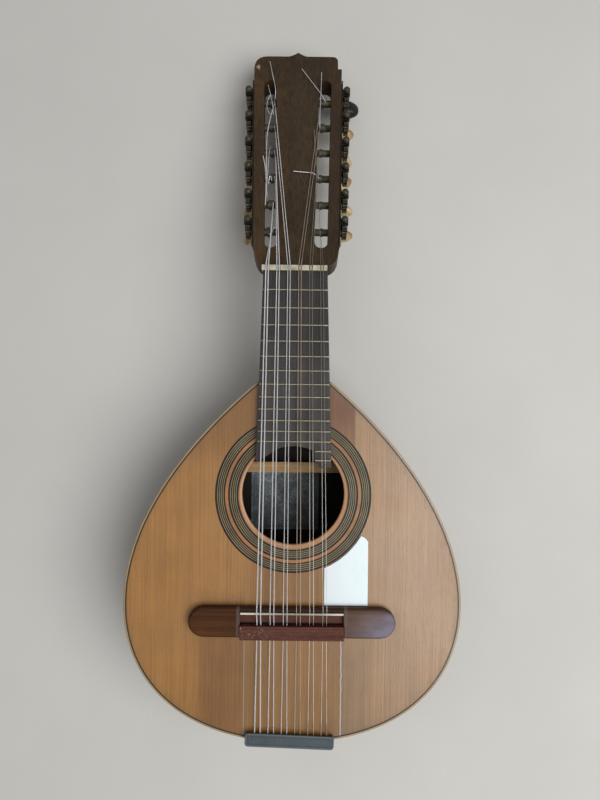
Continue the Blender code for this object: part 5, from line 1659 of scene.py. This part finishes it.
@dataclass
class Neck:
    """The neck with its fingerboard, frets and nut."""

    nut_y: float = 260 * MM
    board_top: float = 83 * MM
    board_bottom: float = low("fingerboard").z
    nut_half_width: float = 24.5 * MM
    widening: float = 0.0295
    hole_y: float = 89.7 * MM
    arc_radius: float = 36.7 * MM
    arc_left: float = -12.3 * MM
    arc_right: float = 14.6 * MM
    arc_steps: int = 16
    left_rise: float = 23.7 * MM
    board_round: float = 0.35 * MM
    tab: tuple[Pair, ...] = ((15.6, 31.2), (15.6, 26.9), (17.4, 23.9), (20.5, 20.5))
    fret_count: int = 14
    full_frets: int = 12
    fret_width: float = 1.6 * MM
    fret_height: float = 1 * MM
    fret_inset: float = 0.4 * MM
    fret_foot: float = -0.25 * MM
    fret_bevel: float = 0.5 * MM
    fret_ends: Pair = (0.15, 0.75)
    fret_power: float = 0.8
    fret_sides: int = 8
    fret_steps: int = 14
    fret_crown_highlight: float = 0.4
    fret_end_highlight: float = 0.75
    tab_fret_start: float = 16 * MM
    neck_edge: float = 0.8 * MM
    nut_edge: float = 0.45 * MM

    def half_width(self, y: float) -> float:
        """Give half of the fingerboard's width at a place along it."""
        return self.nut_half_width + self.widening * (self.nut_y - y)

    def board(self) -> None:
        """Make the fingerboard: straight sides, its end cut to the soundhole's curve, and a tab."""
        top_y = high("fingerboard").y
        corner = self.hole_y + self.left_rise
        angles = np.linspace(math.acos(self.arc_left / self.arc_radius),
                             math.acos(self.arc_right / self.arc_radius), self.arc_steps)
        arc = np.stack([np.cos(angles), np.sin(angles)], -1) * self.arc_radius + (0, self.hole_y)
        tab = np.array(self.tab) * MM + (0, self.hole_y)
        low_y = tab[-1, 1]
        loop = np.concatenate([[(-self.half_width(corner), corner)], arc, tab,
                               [(self.half_width(low_y), low_y), (self.half_width(top_y), top_y),
                                (-self.half_width(top_y), top_y)]])
        levels = rounded(self.board_bottom, self.board_top, self.board_round, 3)
        hand_in(slab("worn_fingerboard", loop, levels, EBONY), "body", "ebony", "fingerboard")

    def fret(self, number: int) -> None:
        """Make a fret: a half round carried across the board, its ends bevelled.

        It stands at 260 mm divided by the twelfth root of 2 once for each semitone.

        Args:
            number: The fret's number, from the nut.
        """
        y = self.nut_y * 2 ** (-number / 12)
        half = self.half_width(y) - self.fret_inset
        start = -half if number <= self.full_frets else self.tab_fret_start
        turn = np.linspace(0, math.pi, self.fret_sides + 1)
        across = np.cos(turn) * self.fret_width / 2
        above = np.sin(turn) ** self.fret_power * self.fret_height
        section = np.concatenate([[(self.fret_width / 2, self.fret_foot)], np.stack([across, above], -1),
                                  [(-self.fret_width / 2, self.fret_foot)]])
        ends = self.fret_bevel
        low_end, shoulder = self.fret_ends
        stations = [(start, low_end), (start + ends * 0.5, shoulder), (start + ends, 1.0)]
        stations += [(x, 1.0) for x in np.linspace(start + ends, half - ends, self.fret_steps)[1:-1]]
        stations += [(half - ends, 1.0), (half - ends * 0.5, shoulder), (half, low_end)]
        out, up = section.T
        rings = np.stack([np.stack([np.full(len(section), x), y + out,
                                    self.board_top + np.where(up > 0, up * tall, up)], -1)
                          for x, tall in stations])
        piece = skin(f"fret_{number:02d}", rings, FRET_METAL)
        # Painted highlight: the wear attribute paints a bright line along the crown and brightens the
        # treble end.
        crown_highlight = np.concatenate([[0], np.clip(np.sin(turn) * 6 - 5, 0, 1) * self.fret_crown_highlight, [0]])
        wear = np.tile(crown_highlight, (len(stations), 1))
        wear[-2:] = self.fret_end_highlight
        weigh(piece, "wear", wear)
        hand_in(piece, "body", "brass")

    def build(self) -> None:
        """Make the neck's pieces."""
        hand_in_softened("neck", "smooth_neck", CEDAR_NECK, "cedar", self.neck_edge, 3)
        self.board()
        for number in range(1, self.fret_count + 1):
            self.fret(number)
        hand_in_softened("nut", "bone_nut", BONE, "bone", self.nut_edge, 3)


@dataclass
class Head:
    """The slotted head, tilted back from the nut, and the places of what is set in it."""

    origin_y: float = high("nut").y + 0.3 * MM
    origin_z: float = 79 * MM
    tilt: float = math.radians(-15)
    half_width: float = 32.8 * MM
    flare: float = math.radians(1.32)
    first_tuner: float = 33.4 * MM
    tuner_spacing: float = 24.4 * MM
    tuners: int = 6
    axis_depth: float = 8 * MM
    slot_wall: float = 8.4 * MM
    slot_width: float = 10.5 * MM
    edge: float = 0.55 * MM

    def frame(self) -> Matrix:
        """Give the head's own frame: x across, y along its face and z out of it."""
        return Matrix.Translation((0, self.origin_y, self.origin_z)) @ Matrix.Rotation(self.tilt, 4, "X")

    def side(self, side: int) -> Matrix:
        """Give the frame of one side wall: x outwards, y along the edge and z out of the face.

        Args:
            side: 1 for the treble side, -1 for the bass side.

        Returns:
            The frame.
        """
        cos, sin = math.cos(self.flare), math.sin(self.flare)
        local = Matrix(((side * cos, side * sin, 0, side * self.half_width), (-sin, cos, 0, 0),
                        (0, 0, 1, 0), (0, 0, 0, 1)))
        return self.frame() @ local

    def point(self, side: int, out: float, along: float, up: float) -> Vector:
        """Give a place by its distance out from a side wall, along it and above the face."""
        return self.side(side) @ Vector((out, along, up))

    def along(self, number: int) -> float:
        """Give how far along the head a tuner's roller is; number 0 is nearest the nut."""
        return self.first_tuner + number * self.tuner_spacing

    def build(self) -> None:
        """Make the head's wood."""
        hand_in_softened("headstock", "slotted_head", CEDAR, "cedar", self.edge, 3)


def machine_label(side: int, number: int) -> str:
    """Give the side and number that a machine's bodies are named by."""
    return f"{'right' if side > 0 else 'left'}_{number + 1}"


@dataclass
class Tuner:
    """One worm machine: roller and wheel, worm with its end ball, and button."""

    head: Head
    side: int
    number: int
    button_turn: float
    knob: bool = False
    worm_out: float = 4.52 * MM
    worm_offset: float = 7.4 * MM
    roller_radius: float = 2.8 * MM
    roller_seat: float = 4.5 * MM
    wheel_face: float = 2.72 * MM
    wheel_thickness: float = 3.6 * MM
    teeth: int = 14
    tooth_wear_and_highlight: float = 0.1
    tip_radius: float = 5.45 * MM
    root_radius: float = 4.15 * MM
    worm_tip: float = 2.9 * MM
    worm_root: float = 1.65 * MM
    turns: int = 3
    pitch_radius: float = 5 * MM
    crest: float = 0.35 * MM
    base: float = 0.8 * MM
    run_out: float = 0.5 * MM
    shaft: float = 1.3 * MM
    ear: float = 1.2 * MM
    gap: float = 0.32 * MM
    ball: float = 2.85 * MM
    button_start: float = 19 * MM
    button_length: float = 13 * MM
    half_width: float = 8.5 * MM
    half_thickness: float = 3 * MM
    tooth_sides: int = 12
    wheel_stations: tuple[Pair, ...] = (
        (0.25, 0.0), (0.94, 0.0), (1.0, 0.06), (0.975, 0.3), (0.965, 0.5), (0.975, 0.7),
        (1.0, 0.94), (0.94, 1.0), (0.74, 1.0), (0.7, 0.86), (0.42, 0.86))
    wheel_dome: tuple[Pair, ...] = ((0.42, 0.9), (0.4, 1.04), (0.3, 1.12), (0.12, 1.16))
    dome_wear: float = 0.2
    thread_sides: int = 28
    thread_rows: int = 76
    thread_wear_and_highlight: Pair = (0.32, 0.1)
    ball_wear: float = 0.06
    button_sides: int = 36
    button_power: float = 0.8
    button_cap: float = 0.3
    button_tip: float = 0.4
    button_point: float = 0.15 * MM
    amber: float = 0.85
    amber_shade_left: float = 0.45
    knob_wear: float = 0.1
    button_at: tuple[float, ...] = (0, 0.1, 0.38, 0.68, 0.93, 1.0)
    button_wide: tuple[float, ...] = (0.3, 0.62, 0.96, 0.96, 0.6, 0.34)
    button_thick: tuple[float, ...] = (0.6, 0.9, 1.0, 0.95, 0.72, 0.4)

    def label(self) -> str:
        """Give the side and number that the bodies' names end with."""
        return machine_label(self.side, self.number)

    def skinned(self, kind: str, rings: Array, placing: Matrix, finish: Finish) -> Piece:
        """Skin rings that are given in the roller's or the worm's frame."""
        return skin(f"{kind}_{self.label()}", moved(rings, placing), finish)

    def pitch(self) -> float:
        """Give the worm's pitch, which is one tooth of the wheel at its pitch circle."""
        return 2 * math.pi * self.pitch_radius / self.teeth

    def roller_frame(self) -> Matrix:
        """Give the roller's frame: z outwards along its axis and x towards the worm.

        Returns:
            The frame.
        """
        wall = self.head.side(self.side).to_3x3()
        out, along = wall.col[0], wall.col[1]
        turn = Matrix((along, out.cross(along), out)).transposed()
        place = self.head.point(self.side, 0, self.head.along(self.number), -self.head.axis_depth)
        return Matrix.Translation(place) @ turn.to_4x4()

    def worm_frame(self) -> Matrix:
        """Give the worm's frame: z up its shaft from the head's face and y along the head.

        Returns:
            The frame.
        """
        wall = self.head.side(self.side).to_3x3()
        turn = Matrix((wall.col[0] * self.side, wall.col[1], wall.col[2])).transposed()
        along = self.head.along(self.number) + self.worm_offset
        place = self.head.point(self.side, self.worm_out, along, 0)
        return Matrix.Translation(place) @ turn.to_4x4()

    def roller(self) -> None:
        """Make the roller: a turned rod with a domed inner tip, its two ends' edges rounded."""
        reach = self.head.slot_wall + self.head.slot_width + self.roller_seat
        r = self.roller_radius
        profile = [(0.2 * r, -reach), (0.8 * r, -reach), (r, -reach + 0.5 * MM)]
        profile += [(r, z) for z in np.linspace(-reach + 1 * MM, self.wheel_face + 0.2 * MM, 8)]
        profile.append((0.2 * r, self.wheel_face + 0.3 * MM))
        piece = self.skinned("string_roller", lathe(profile), self.roller_frame(), ROLLER_METAL)
        hand_in(piece, f"roller_{self.label()}", "brass", f"roller_{self.label()}")

    def wheel(self) -> None:
        """Make the worm wheel.

        Its radius goes from root to tip with the cosine of the angle times the number of teeth, steepened
        and cut off, so that a gap points along x, towards the worm. Its rim is hollowed a little in the
        middle of its thickness, and its outer face is dished round a screw head.
        """
        sides = self.teeth * self.tooth_sides
        turn = whole_turn(sides)
        tooth = np.clip(0.5 - 1.1 * np.cos(turn * self.teeth), 0, 1)
        rim = self.root_radius + (self.tip_radius - self.root_radius) * tooth
        face, thick = self.wheel_face, self.wheel_thickness
        rings = [circle(rim * wide, turn, face + thick * at) for wide, at in self.wheel_stations]
        rings += [circle(self.root_radius * wide, turn, face + thick * at) for wide, at in self.wheel_dome]
        piece = self.skinned("worm_wheel", np.stack(rings), self.roller_frame(), BRASS)
        # The tooth tips' pale tone is partly wear, partly a painted highlight.
        wear = [tooth * self.tooth_wear_and_highlight * (0.05 < at < 0.95) for _, at in self.wheel_stations]
        wear += [np.full(sides, self.dome_wear)] * len(self.wheel_dome)
        weigh(piece, "wear", np.stack(wear))
        hand_in(piece, f"roller_{self.label()}", "brass")

    def worm(self) -> None:
        """Make the worm, its shaft and its end ball.

        Over the height z and the angle a, the distance to the nearest turn of the thread is z from the
        wheel's height, less the pitch times the angle's share of a full turn, brought to within half a
        pitch. The radius falls from tip to root as that distance goes from half the crest to three
        quarters of the base, and the thread runs out at both ends.
        """
        sides = self.thread_sides
        middle = -self.head.axis_depth
        half = (self.turns * self.pitch() + self.base) / 2
        turn = whole_turn(sides)[None, :]
        z = np.linspace(middle - half, middle + half, self.thread_rows)[:, None]
        off = (z - middle) / self.pitch() - (turn + math.pi / 2) / (2 * math.pi)
        off = np.abs(off - np.round(off)) * self.pitch()
        foot = 0.75 * self.base
        ridge = np.clip((foot - off) / (foot - self.crest / 2), 0, 1)
        ridge *= np.clip((half - np.abs(z - middle)) / self.run_out, 0, 1)
        radius = self.worm_root + (self.worm_tip - self.worm_root) * ridge
        thread = circle(radius, turn, z)
        button_neck = -self.button_start + 1 * MM
        below = lathe([(self.shaft * 0.3, button_neck), (self.shaft, button_neck),
                       (self.shaft, middle - half)], sides)
        ball_base = middle + half + self.ear + 2 * self.gap
        ball_middle = ball_base + 0.9 * self.ball
        angles = np.radians(np.linspace(-55, 84, 12))
        ball = [(self.ball * math.cos(a), ball_middle + self.ball * math.sin(a)) for a in angles]
        above = lathe([(self.shaft, middle + half), (self.shaft, ball_base)] + ball, sides)
        rings = np.concatenate([below, thread, above])
        piece = self.skinned("worm_shaft", rings, self.worm_frame(), BRASS)
        # The crests' pale tone is partly wear, partly a painted highlight, stronger on the treble side.
        crest = np.clip(ridge * 3 - 2.1, 0, 1) * self.thread_wear_and_highlight[self.side < 0]
        wear = np.concatenate([np.zeros((3, sides)), crest, np.zeros((4, sides)),
                               np.full((len(ball) - 2, sides), self.ball_wear)])
        weigh(piece, "wear", wear)
        hand_in(piece, f"worm_{self.label()}", "brass", f"worm_{self.label()}")

    def button(self) -> None:
        """Make the button: rounded sections, wide across and thinner through, on the shaft's end.

        Each section is a superellipse of power 2.5. Its half width and half thickness follow smooth
        curves through a few chosen shares of the button's length.
        """
        at = np.concatenate([np.linspace(0, 0.93, 16), np.linspace(0.95, 1, 5)])
        widths = np.interp(at, self.button_at, self.button_wide) * self.half_width
        depths = np.interp(at, self.button_at, self.button_thick) * self.half_thickness
        for _ in range(3):
            widths[1:-1] = (widths[:-2] + 2 * widths[1:-1] + widths[2:]) / 4
            depths[1:-1] = (depths[:-2] + 2 * depths[1:-1] + depths[2:]) / 4
        turn = whole_turn(self.button_sides)
        across, through = (np.sign(v) * np.abs(v) ** self.button_power
                           for v in (np.cos(turn), np.sin(turn)))
        x = widths[:, None] * across
        y = depths[:, None] * through
        z = np.broadcast_to(-self.button_start - self.button_length * at[:, None], x.shape)
        angle = math.radians(self.button_turn)
        cos, sin = math.cos(angle), math.sin(angle)
        rings = np.stack([x * cos - y * sin, x * sin + y * cos, z], -1)
        cap = rings[:1] * (self.button_cap, self.button_cap, 1)
        tip = rings[-1:] * (self.button_tip, self.button_tip, 1) - (0, 0, self.button_point)
        rings = np.concatenate([cap, rings, tip])
        finish = BLACK if self.knob else CREAM
        piece = self.skinned("button", rings, self.worm_frame(), finish)
        front = (rings[..., 1] + 0.25 * self.half_width) / (0.3 * self.half_width)
        amber = np.clip(front, 0, 1) * self.amber
        # Painted shade: the bass side's buttons get at least this share of the dark amber tone.
        amber = np.maximum(amber, 0.0 if self.side > 0 else self.amber_shade_left)
        weigh(piece, "wear", amber * self.knob_wear if self.knob else amber)
        slot = "black_plastic" if self.knob else "cream_plastic"
        hand_in(piece, f"worm_{self.label()}", slot)

    def build(self) -> None:
        """Make the four pieces of the machine."""
        self.roller()
        self.wheel()
        self.worm()
        self.button()


@dataclass
class Machines:
    """Both rows of machines with their plates and screws."""

    head: Head
    right_turns: tuple[float, ...] = (8, -15, 38, -40, 12, 0)
    left_turns: tuple[float, ...] = (60, 50, 120, 60, 75, 90)
    knob_sizes: dict[str, float] = field(default_factory=lambda: {
        "button_start": 17 * MM, "button_length": 12 * MM,
        "half_width": 12.5 * MM, "half_thickness": 7 * MM})
    plate_face: float = 1.3 * MM
    plate_edge: float = 0.2 * MM
    screw_offset: float = -9.9 * MM
    screw_depth: float = 8.4 * MM
    screw_radius: float = 2.1 * MM
    screw_rise: float = 0.95 * MM
    screw_sides: int = 32
    screw_wear: float = 0.25
    slot_half: float = 0.32 * MM
    slot_floor: float = 0.25 * MM

    def screws(self, side: int, name: str) -> None:
        """Make a plate's round screw heads, each with a slot pressed across its dome.

        Args:
            side: 1 for the treble side, -1 for the bass side.
            name: The side's name.
        """
        turn = whole_turn(self.screw_sides)
        shares = np.linspace(1, 0.04, 9)[:, None]
        dome = np.sqrt(1.02 - shares ** 2) * self.screw_rise
        flat_x = shares * self.screw_radius * np.cos(turn)
        flat_y = shares * self.screw_radius * np.sin(turn)
        for number in range(self.head.tuners + 1):
            slant = 0.7 * number + (0.4 if side > 0 else 0.0)
            slot = np.abs(flat_x * math.sin(slant) - flat_y * math.cos(slant)) < self.slot_half
            rise = np.where(slot, np.minimum(dome, self.slot_floor), dome)
            along = self.head.along(number) + self.screw_offset
            rings = np.stack([self.plate_face + rise, along + flat_x, flat_y - self.screw_depth], -1)
            foot = rings[:1].copy()
            foot[..., 0] = self.plate_face - 0.1 * MM
            rings = moved(np.concatenate([foot, rings]), self.head.side(side))
            piece = skin(f"screw_{name}_{number + 1}", rings, BRASS)
            weigh(piece, "wear", np.full(len(piece.data.vertices), self.screw_wear))
            hand_in(piece, "body", "brass")

    def build(self) -> None:
        """Make plates, screws and the twelve machines."""
        for side, name, turns in ((1, "right", self.right_turns), (-1, "left", self.left_turns)):
            hand_in_softened(f"machine_plate_{name}", f"plate_{name}", BRASS, "brass", self.plate_edge)
            self.screws(side, name)
            for number, turn in enumerate(turns):
                knob = side > 0 and number == self.head.tuners - 1
                Tuner(self.head, side, number, turn, knob, **(self.knob_sizes if knob else {})).build()


@dataclass
class Bridge:
    """The bridge with its saddle and tie block, and the pearly guard plate beside it."""

    wood_edge: float = 0.25 * MM
    block_edge: float = 0.4 * MM
    bone_edge: float = 0.35 * MM
    plate_edge: float = 0.2 * MM

    def build(self) -> None:
        """Make each piece from its solid, with softened edges."""
        hand_in_softened("bridge", "worn_bridge", BRIDGE_WOOD, "dark_wood", self.wood_edge)
        hand_in_softened("bridge_tie_block", "tie_block", TIE_WOOD, "rosewood", self.block_edge)
        hand_in_softened("saddle", "bone_saddle", SADDLE_BONE, "bone", self.bone_edge, 3)
        hand_in_softened("guard_plate", "pearly_plate", PEARL, "pearl", self.plate_edge)


@dataclass
class Tailpiece:
    """The plate with its hooks, and the painted cover over it."""

    cover_edge: float = 0.35 * MM
    hook_edge: float = 0.15 * MM

    def build(self) -> None:
        """Make both pieces from their solids, with softened edges."""
        hand_in_softened("tailpiece_cover", "painted_tail_cover", SLATE, "slate", self.cover_edge, 3)
        hand_in_softened("tailpiece_hook_plate", "hook_plate", BRASS, "brass", self.hook_edge)


class Course(Enum):
    """The six pairs by the wire that they are made of, from the lowest to the highest."""

    LOWEST = (0.95, WOUND_WIRE)
    SECOND = (0.76, WOUND_WIRE)
    THIRD = (0.6, WOUND_WIRE)
    FOURTH = (0.48, BRONZE_WIRE)
    FIFTH = (0.34, PLAIN_WIRE)
    HIGHEST = (0.32, PLAIN_WIRE)


@dataclass
class Strings:
    """Twelve strings from their rollers over nut and saddle to the tail, and their loose ends."""

    head: Head
    nut_y: float = 260 * MM
    nut_back_y: float = 264 * MM
    nut_floor: float = high("nut").z - 0.9 * MM
    saddle_top: float = high("saddle").z
    saddle_half: float = 0.75 * MM
    seat_z: float = 78.3 * MM
    clearance: float = 0.26 * MM
    nut_shift: float = -0.7 * MM
    saddle_spacing: Pair = (10 * MM, 2.9 * MM)
    nut_spacing: Pair = (8.3 * MM, 1.9 * MM)
    tail_spacing: Pair = (10.2 * MM, 4.4 * MM)
    tie_height: float = 4.9 * MM
    tie_front: float = -9.4 * MM
    tie_back: float = -20.5 * MM
    hook_y: float = -98.7 * MM
    hook_radius: float = 0.8 * MM
    tail_height: float = 2.4 * MM
    roller_radius: float = 2.8 * MM
    entry_run: float = 17 * MM
    lanes: tuple[float, ...] = (0.42, 0.3, 0.2, 0.2, 0.2, 0.2)
    thick_from: float = 0.3 * MM
    thick_turns: float = 4.5
    thin_turns: float = 6.5
    turn_steps: int = 22
    turn_pitch: float = 2.15
    twisted: tuple[int, ...] = (8, 9, 10, 11)
    twist_y: Pair = (-92.5 * MM, -85 * MM)
    twist_turns: int = 6
    wire_share: float = 0.98
    loose_ends: dict[str, tuple[float, tuple[Point, ...]]] = field(default_factory=lambda: {
        "upper_left": (0.3, ((-25.2, 170.1, -3), (-22.8, 159.4, -2), (-20.7, 147.8, -1),
                             (-20.3, 141, -4.4))),
        "loop_left": (0.3, ((-22.8, 159.4, -2), (-26.1, 153.1, -3), (-25.7, 144.8, -3.5),
                            (-22.0, 140.8, -4))),
        "long_left": (0.38, ((-19.5, 152, -4), (-19.9, 147, -0.6), (-22.1, 135.2, 0.8), (-23.9, 123.6, 1),
                             (-24.8, 116.2, 1), (-24.5, 88.9, 1), (-24.2, 64.2, 0.8), (-24.5, 52.5, 0.8))),
        "middle_left": (0.3, ((-22.1, 109.9, -4), (-22.6, 103, -1.5), (-23.0, 90.4, 0.4),
                              (-24.0, 63.8, 0.6))),
        "over_wood_left": (0.36, ((-27.4, 97.2, 1.2), (-25.6, 89.0, 0.8), (-24.5, 75.3, -0.6),
                                  (-23.5, 62, -3))),
        "hook_left": (0.32, ((-22.6, 75.3, -4), (-22.4, 80.8, -1), (-20.6, 82.4, -1), (-20.4, 78.1, -4))),
        "fork_left": (0.28, ((-20.8, 29.2, -3.6), (-18.2, 32.8, -2.6), (-16.8, 35, -2.4))),
        "top_left": (0.3, ((-23.8, 188.4, 3), (-21.0, 174.1, 2), (-18.4, 162.6, 1.2), (-18.9, 155.4, -3))),
        "upper_right": (0.26, ((3.3, 181.1, 3), (13.5, 166.3, 1.8), (20.6, 156.6, 0.6), (23.6, 153.6, -4))),
        "long_right": (0.24, ((19.8, 177.7, 3), (19.2, 156.4, 2), (18.3, 134.7, 1), (18.6, 128, -3.6))),
        "bronze_right": (0.5, ((13.6, 122.2, 1.6), (14.2, 112.9, 1.2), (14.7, 99.8, 0.9), (16.4, 79, -2))),
        "across_right": (0.3, ((-2.5, 82.8, 1.8), (6.6, 82.4, 1.2), (14.6, 82.1, 0.8), (18, 80, -3.4))),
        "thin_right": (0.1, ((2.9, 80.1, 1.4), (6.7, 72.0, 1.0), (10.4, 63.9, 0.7), (14.4, 55, 0.5))),
    })

    def across(self, index: int, spacing: Pair) -> float:
        """Give a string's x by its pair's spacing and the gap within the pair."""
        pair, member = divmod(index, 2)
        return (pair - 2.5) * spacing[0] + (member - 0.5) * spacing[1]

    def route(self, index: int, radius: float) -> list[Vector]:
        """Give a string's points from its roller to its hook.

        Args:
            index: The string's number, from 0.
            radius: Its radius.

        Returns:
            The points.
        """
        side, number, lane = self.lane(index)
        along = self.head.along(number)
        up = -self.head.axis_depth + self.roller_radius + self.clearance + radius
        points = [self.head.point(side, lane, along, up)]
        if number > 1:
            entry = -self.head.slot_wall - self.head.slot_width + radius + 2 * self.clearance
            points.append(self.head.point(side, entry, along - self.entry_run, radius + 2 * self.clearance))
        nut_x = self.nut_shift + self.across(index, self.nut_spacing)
        nut_z = self.nut_floor + self.clearance + radius
        saddle_x = self.across(index, self.saddle_spacing)
        saddle_z = self.saddle_top + self.clearance + radius
        hole_z = self.seat_z + self.tie_height
        tail_x = self.across(index, self.tail_spacing)
        rest = [(nut_x, self.nut_back_y, nut_z), (nut_x, self.nut_y, nut_z),
                (saddle_x, self.saddle_half, saddle_z), (saddle_x, -self.saddle_half, saddle_z),
                (saddle_x, self.tie_front, hole_z), (saddle_x, self.tie_back, hole_z),
                (tail_x, self.end_y(), self.seat_z + self.tail_height)]
        return points + [Vector(place) for place in rest]

    def end_y(self) -> float:
        """Give where the strings end at their hooks."""
        return self.hook_y + self.hook_radius + self.clearance

    def lane(self, index: int) -> tuple[int, int, float]:
        """Give a string's side, its roller and its place across the slot.

        Args:
            index: The string's number, from 0.

        Returns:
            The side, the roller's number and the place out from the side.
        """
        side = -1 if index < 6 else 1
        number = index if side < 0 else 11 - index
        return side, number, -self.head.slot_wall - self.head.slot_width * (1 - self.lanes[number])

    def winding(self, index: int, radius: float) -> None:
        """Make the turns of wire on a roller: a screw line that starts at the top and goes over it.

        Args:
            index: The string's number, from 0.
            radius: Its radius.
        """
        side, number, lane = self.lane(index)
        turns = self.thick_turns if radius > self.thick_from else self.thin_turns
        angle = np.linspace(0, turns * 2 * math.pi, int(turns * self.turn_steps))
        reach = self.roller_radius + self.clearance + radius
        out = lane + angle / (2 * math.pi) * radius * self.turn_pitch
        path = np.stack([out, self.head.along(number) + reach * np.sin(angle),
                         -self.head.axis_depth + reach * np.cos(angle)], -1)
        path = moved(path, self.head.side(side))
        piece = tube(f"winding_{index + 1:02d}", path, radius, WRAPPED_WIRE, 8)
        hand_in(piece, f"roller_{machine_label(side, number)}", "steel")

    def twist(self, index: int, radius: float) -> None:
        """Make the short twist of wire near the tail, a screw line round the string.

        Args:
            index: The string's number, from 0.
            radius: Its radius.
        """
        x = self.across(index, self.tail_spacing)
        angle = np.linspace(0, self.twist_turns * 2 * math.pi, self.twist_turns * 12)
        y = np.linspace(*self.twist_y, len(angle))
        share = (y - self.tie_back) / (self.end_y() - self.tie_back)
        saddle_x = self.across(index, self.saddle_spacing)
        middle_x = saddle_x + (x - saddle_x) * share
        middle_z = self.seat_z + self.tie_height + (self.tail_height - self.tie_height) * share
        reach = radius * 1.9
        path = np.stack([middle_x + reach * np.cos(angle), y, middle_z + reach * np.sin(angle)], -1)
        hand_in(tube(f"string_twist_{index + 1:02d}", path, radius * 0.9, DARK_WIRE, 6), "body", "steel")

    def build(self) -> None:
        """Make the strings with their windings, their twists and the loose ends on the head."""
        for index in range(12):
            diameter, finish = list(Course)[index // 2].value
            radius = self.wire_share * diameter * MM / 2
            path = smooth_path(self.route(index, radius), 1.6 * MM, 2)
            side_name = "bass" if index < 6 else "treble"
            number = f"{index + 1:02d}"
            piece = tube(f"string_wire_{number}", path, radius, finish, 8)
            hand_in(piece, "body", "steel", f"string_{number}_{side_name}")
            self.winding(index, radius)
            if index in self.twisted:
                self.twist(index, radius)
        for name, (radius, points) in self.loose_ends.items():
            path = moved(smooth_path(np.array(points) * MM, 1.2 * MM, 6), self.head.frame())
            finish = DARK_WIRE if name in ("bronze_right", "thin_right") else LOOSE_WIRE
            hand_in(tube(f"loose_end_{name}", path, radius * MM, finish, 8), "body", "steel")


@dataclass(frozen=True)
class Ground(Plain):
    """The floor, which the camera sees fade into the backdrop's tone far from the instrument."""

    backdrop: Colour = (0.5, 0.5, 0.5)
    fade_start: float = 0.45
    fade_end: float = 1.5

    def build(self) -> bpy.types.Material:
        """Make the material: the plain floor, mixed with the backdrop's glow by the distance.

        Returns:
            The material.
        """
        made = Finish.build(self)
        shop = Shop(made.node_tree)
        distance = shop.distance(shop.place((1, 1, 0)))
        far = shop.times(shop.span(distance, self.fade_start, self.fade_end), shop.seen())
        glow = shop.node("Emission", Color=self.backdrop, Strength=1.0)
        nodes = made.node_tree.nodes
        mixed = shop.node("MixShader", in0=far, in1=nodes["Principled BSDF"].outputs[0],
                          in2=glow.outputs[0])
        shop.feed(nodes["Material Output"].inputs["Surface"], mixed.outputs[0])
        return made


@dataclass
class Stage:
    """The pale floor, the soft light and the camera that looks straight down."""

    lens: float = 27.03
    camera_x: float = 4.5 * MM
    camera_y: float = 161.7 * MM
    camera_z: float = 540 * MM
    roll: float = math.radians(0.6)
    floor_size: float = 20.0
    floor_gap: float = 0.5 * MM
    floor_colour: Colour = tone(204, 200, 193)
    sky: Colour = (0.92, 0.96, 1.0)
    sky_strength: float = 0.26
    backdrop: Colour = tone(196, 194, 190)
    aim_z: float = 50 * MM
    lamps: tuple[tuple[str, Point, float, float, Colour], ...] = (
        ("key", (0.85, -0.18, 1.51), 1.6, 29.0, (0.96, 0.98, 1.0)),
        ("fill", (-0.9, 0.5, 1.6), 1.6, 3.0, (1.0, 0.97, 0.94)))

    def camera(self) -> None:
        """Set the camera above the instrument's middle."""
        data = bpy.data.cameras.new("camera")
        data.lens = self.lens
        data.sensor_width = 36
        data.clip_start = 0.01
        item = set_out("camera", data)
        item.location = (self.camera_x, self.camera_y, self.camera_z)
        item.rotation_euler = (0, 0, self.roll)
        bpy.context.scene.camera = item

    def lamp(self, name: str, place: Point, size: float, power: float, colour: Colour) -> None:
        """Set a large soft lamp that faces the instrument's middle.

        Args:
            name: The lamp's name.
            place: Where it hangs.
            size: Its width.
            power: Its power, in watts.
            colour: Its colour.
        """
        data = bpy.data.lights.new(name, "AREA")
        data.shape = "DISK"
        data.size = size
        data.energy = power
        data.color = colour
        item = set_out(name, data)
        item.location = place
        aim = Vector((0, self.camera_y, self.aim_z)) - Vector(place)
        item.rotation_euler = aim.to_track_quat("-Z", "Y").to_euler()

    def floor(self) -> None:
        """Lay the floor just below the back, its tone varied a little."""
        half = self.floor_size / 2
        z = CAD_BOX[0][2] - self.floor_gap
        points = np.array([[-half, -half, z], [half, -half, z], [half, half, z], [-half, half, z]])
        ground = Ground("pale_floor", 0.85, base=self.floor_colour, worn=self.floor_colour,
                        dirt=darker(self.floor_colour, 0.93), dirt_share=0.5, scale=6.0,
                        scratch_share=0.0, backdrop=self.backdrop)
        item = build_mesh("floor", points, [[0, 1, 2, 3]], ground, rounds=False)

    def world(self) -> None:
        """Light the scene from an even sky, which the camera and reflections see as a pale backdrop."""
        world = bpy.data.worlds.new("sky")
        world.use_nodes = True
        shop = Shop(world.node_tree)
        light = darker(self.sky, self.sky_strength)
        background = world.node_tree.nodes["Background"]
        shop.feed(background.inputs["Color"], shop.mix(shop.seen(), light, self.backdrop))
        background.inputs["Strength"].default_value = 1.0
        bpy.context.scene.world = world

    def build(self) -> None:
        """Set the whole stage."""
        self.camera()
        self.floor()
        self.world()
        for lamp in self.lamps:
            self.lamp(*lamp)
        bpy.context.scene.view_settings.view_transform = "Standard"


def main() -> None:
    """Build the instrument and its stage."""
    logging.basicConfig(level=logging.INFO)
    Stage().build()
    SoundBox().build()
    Neck().build()
    head = Head()
    head.build()
    Machines(head).build()
    Bridge().build()
    Tailpiece().build()
    Strings(head).build()


if __name__ == "__main__":
    main()
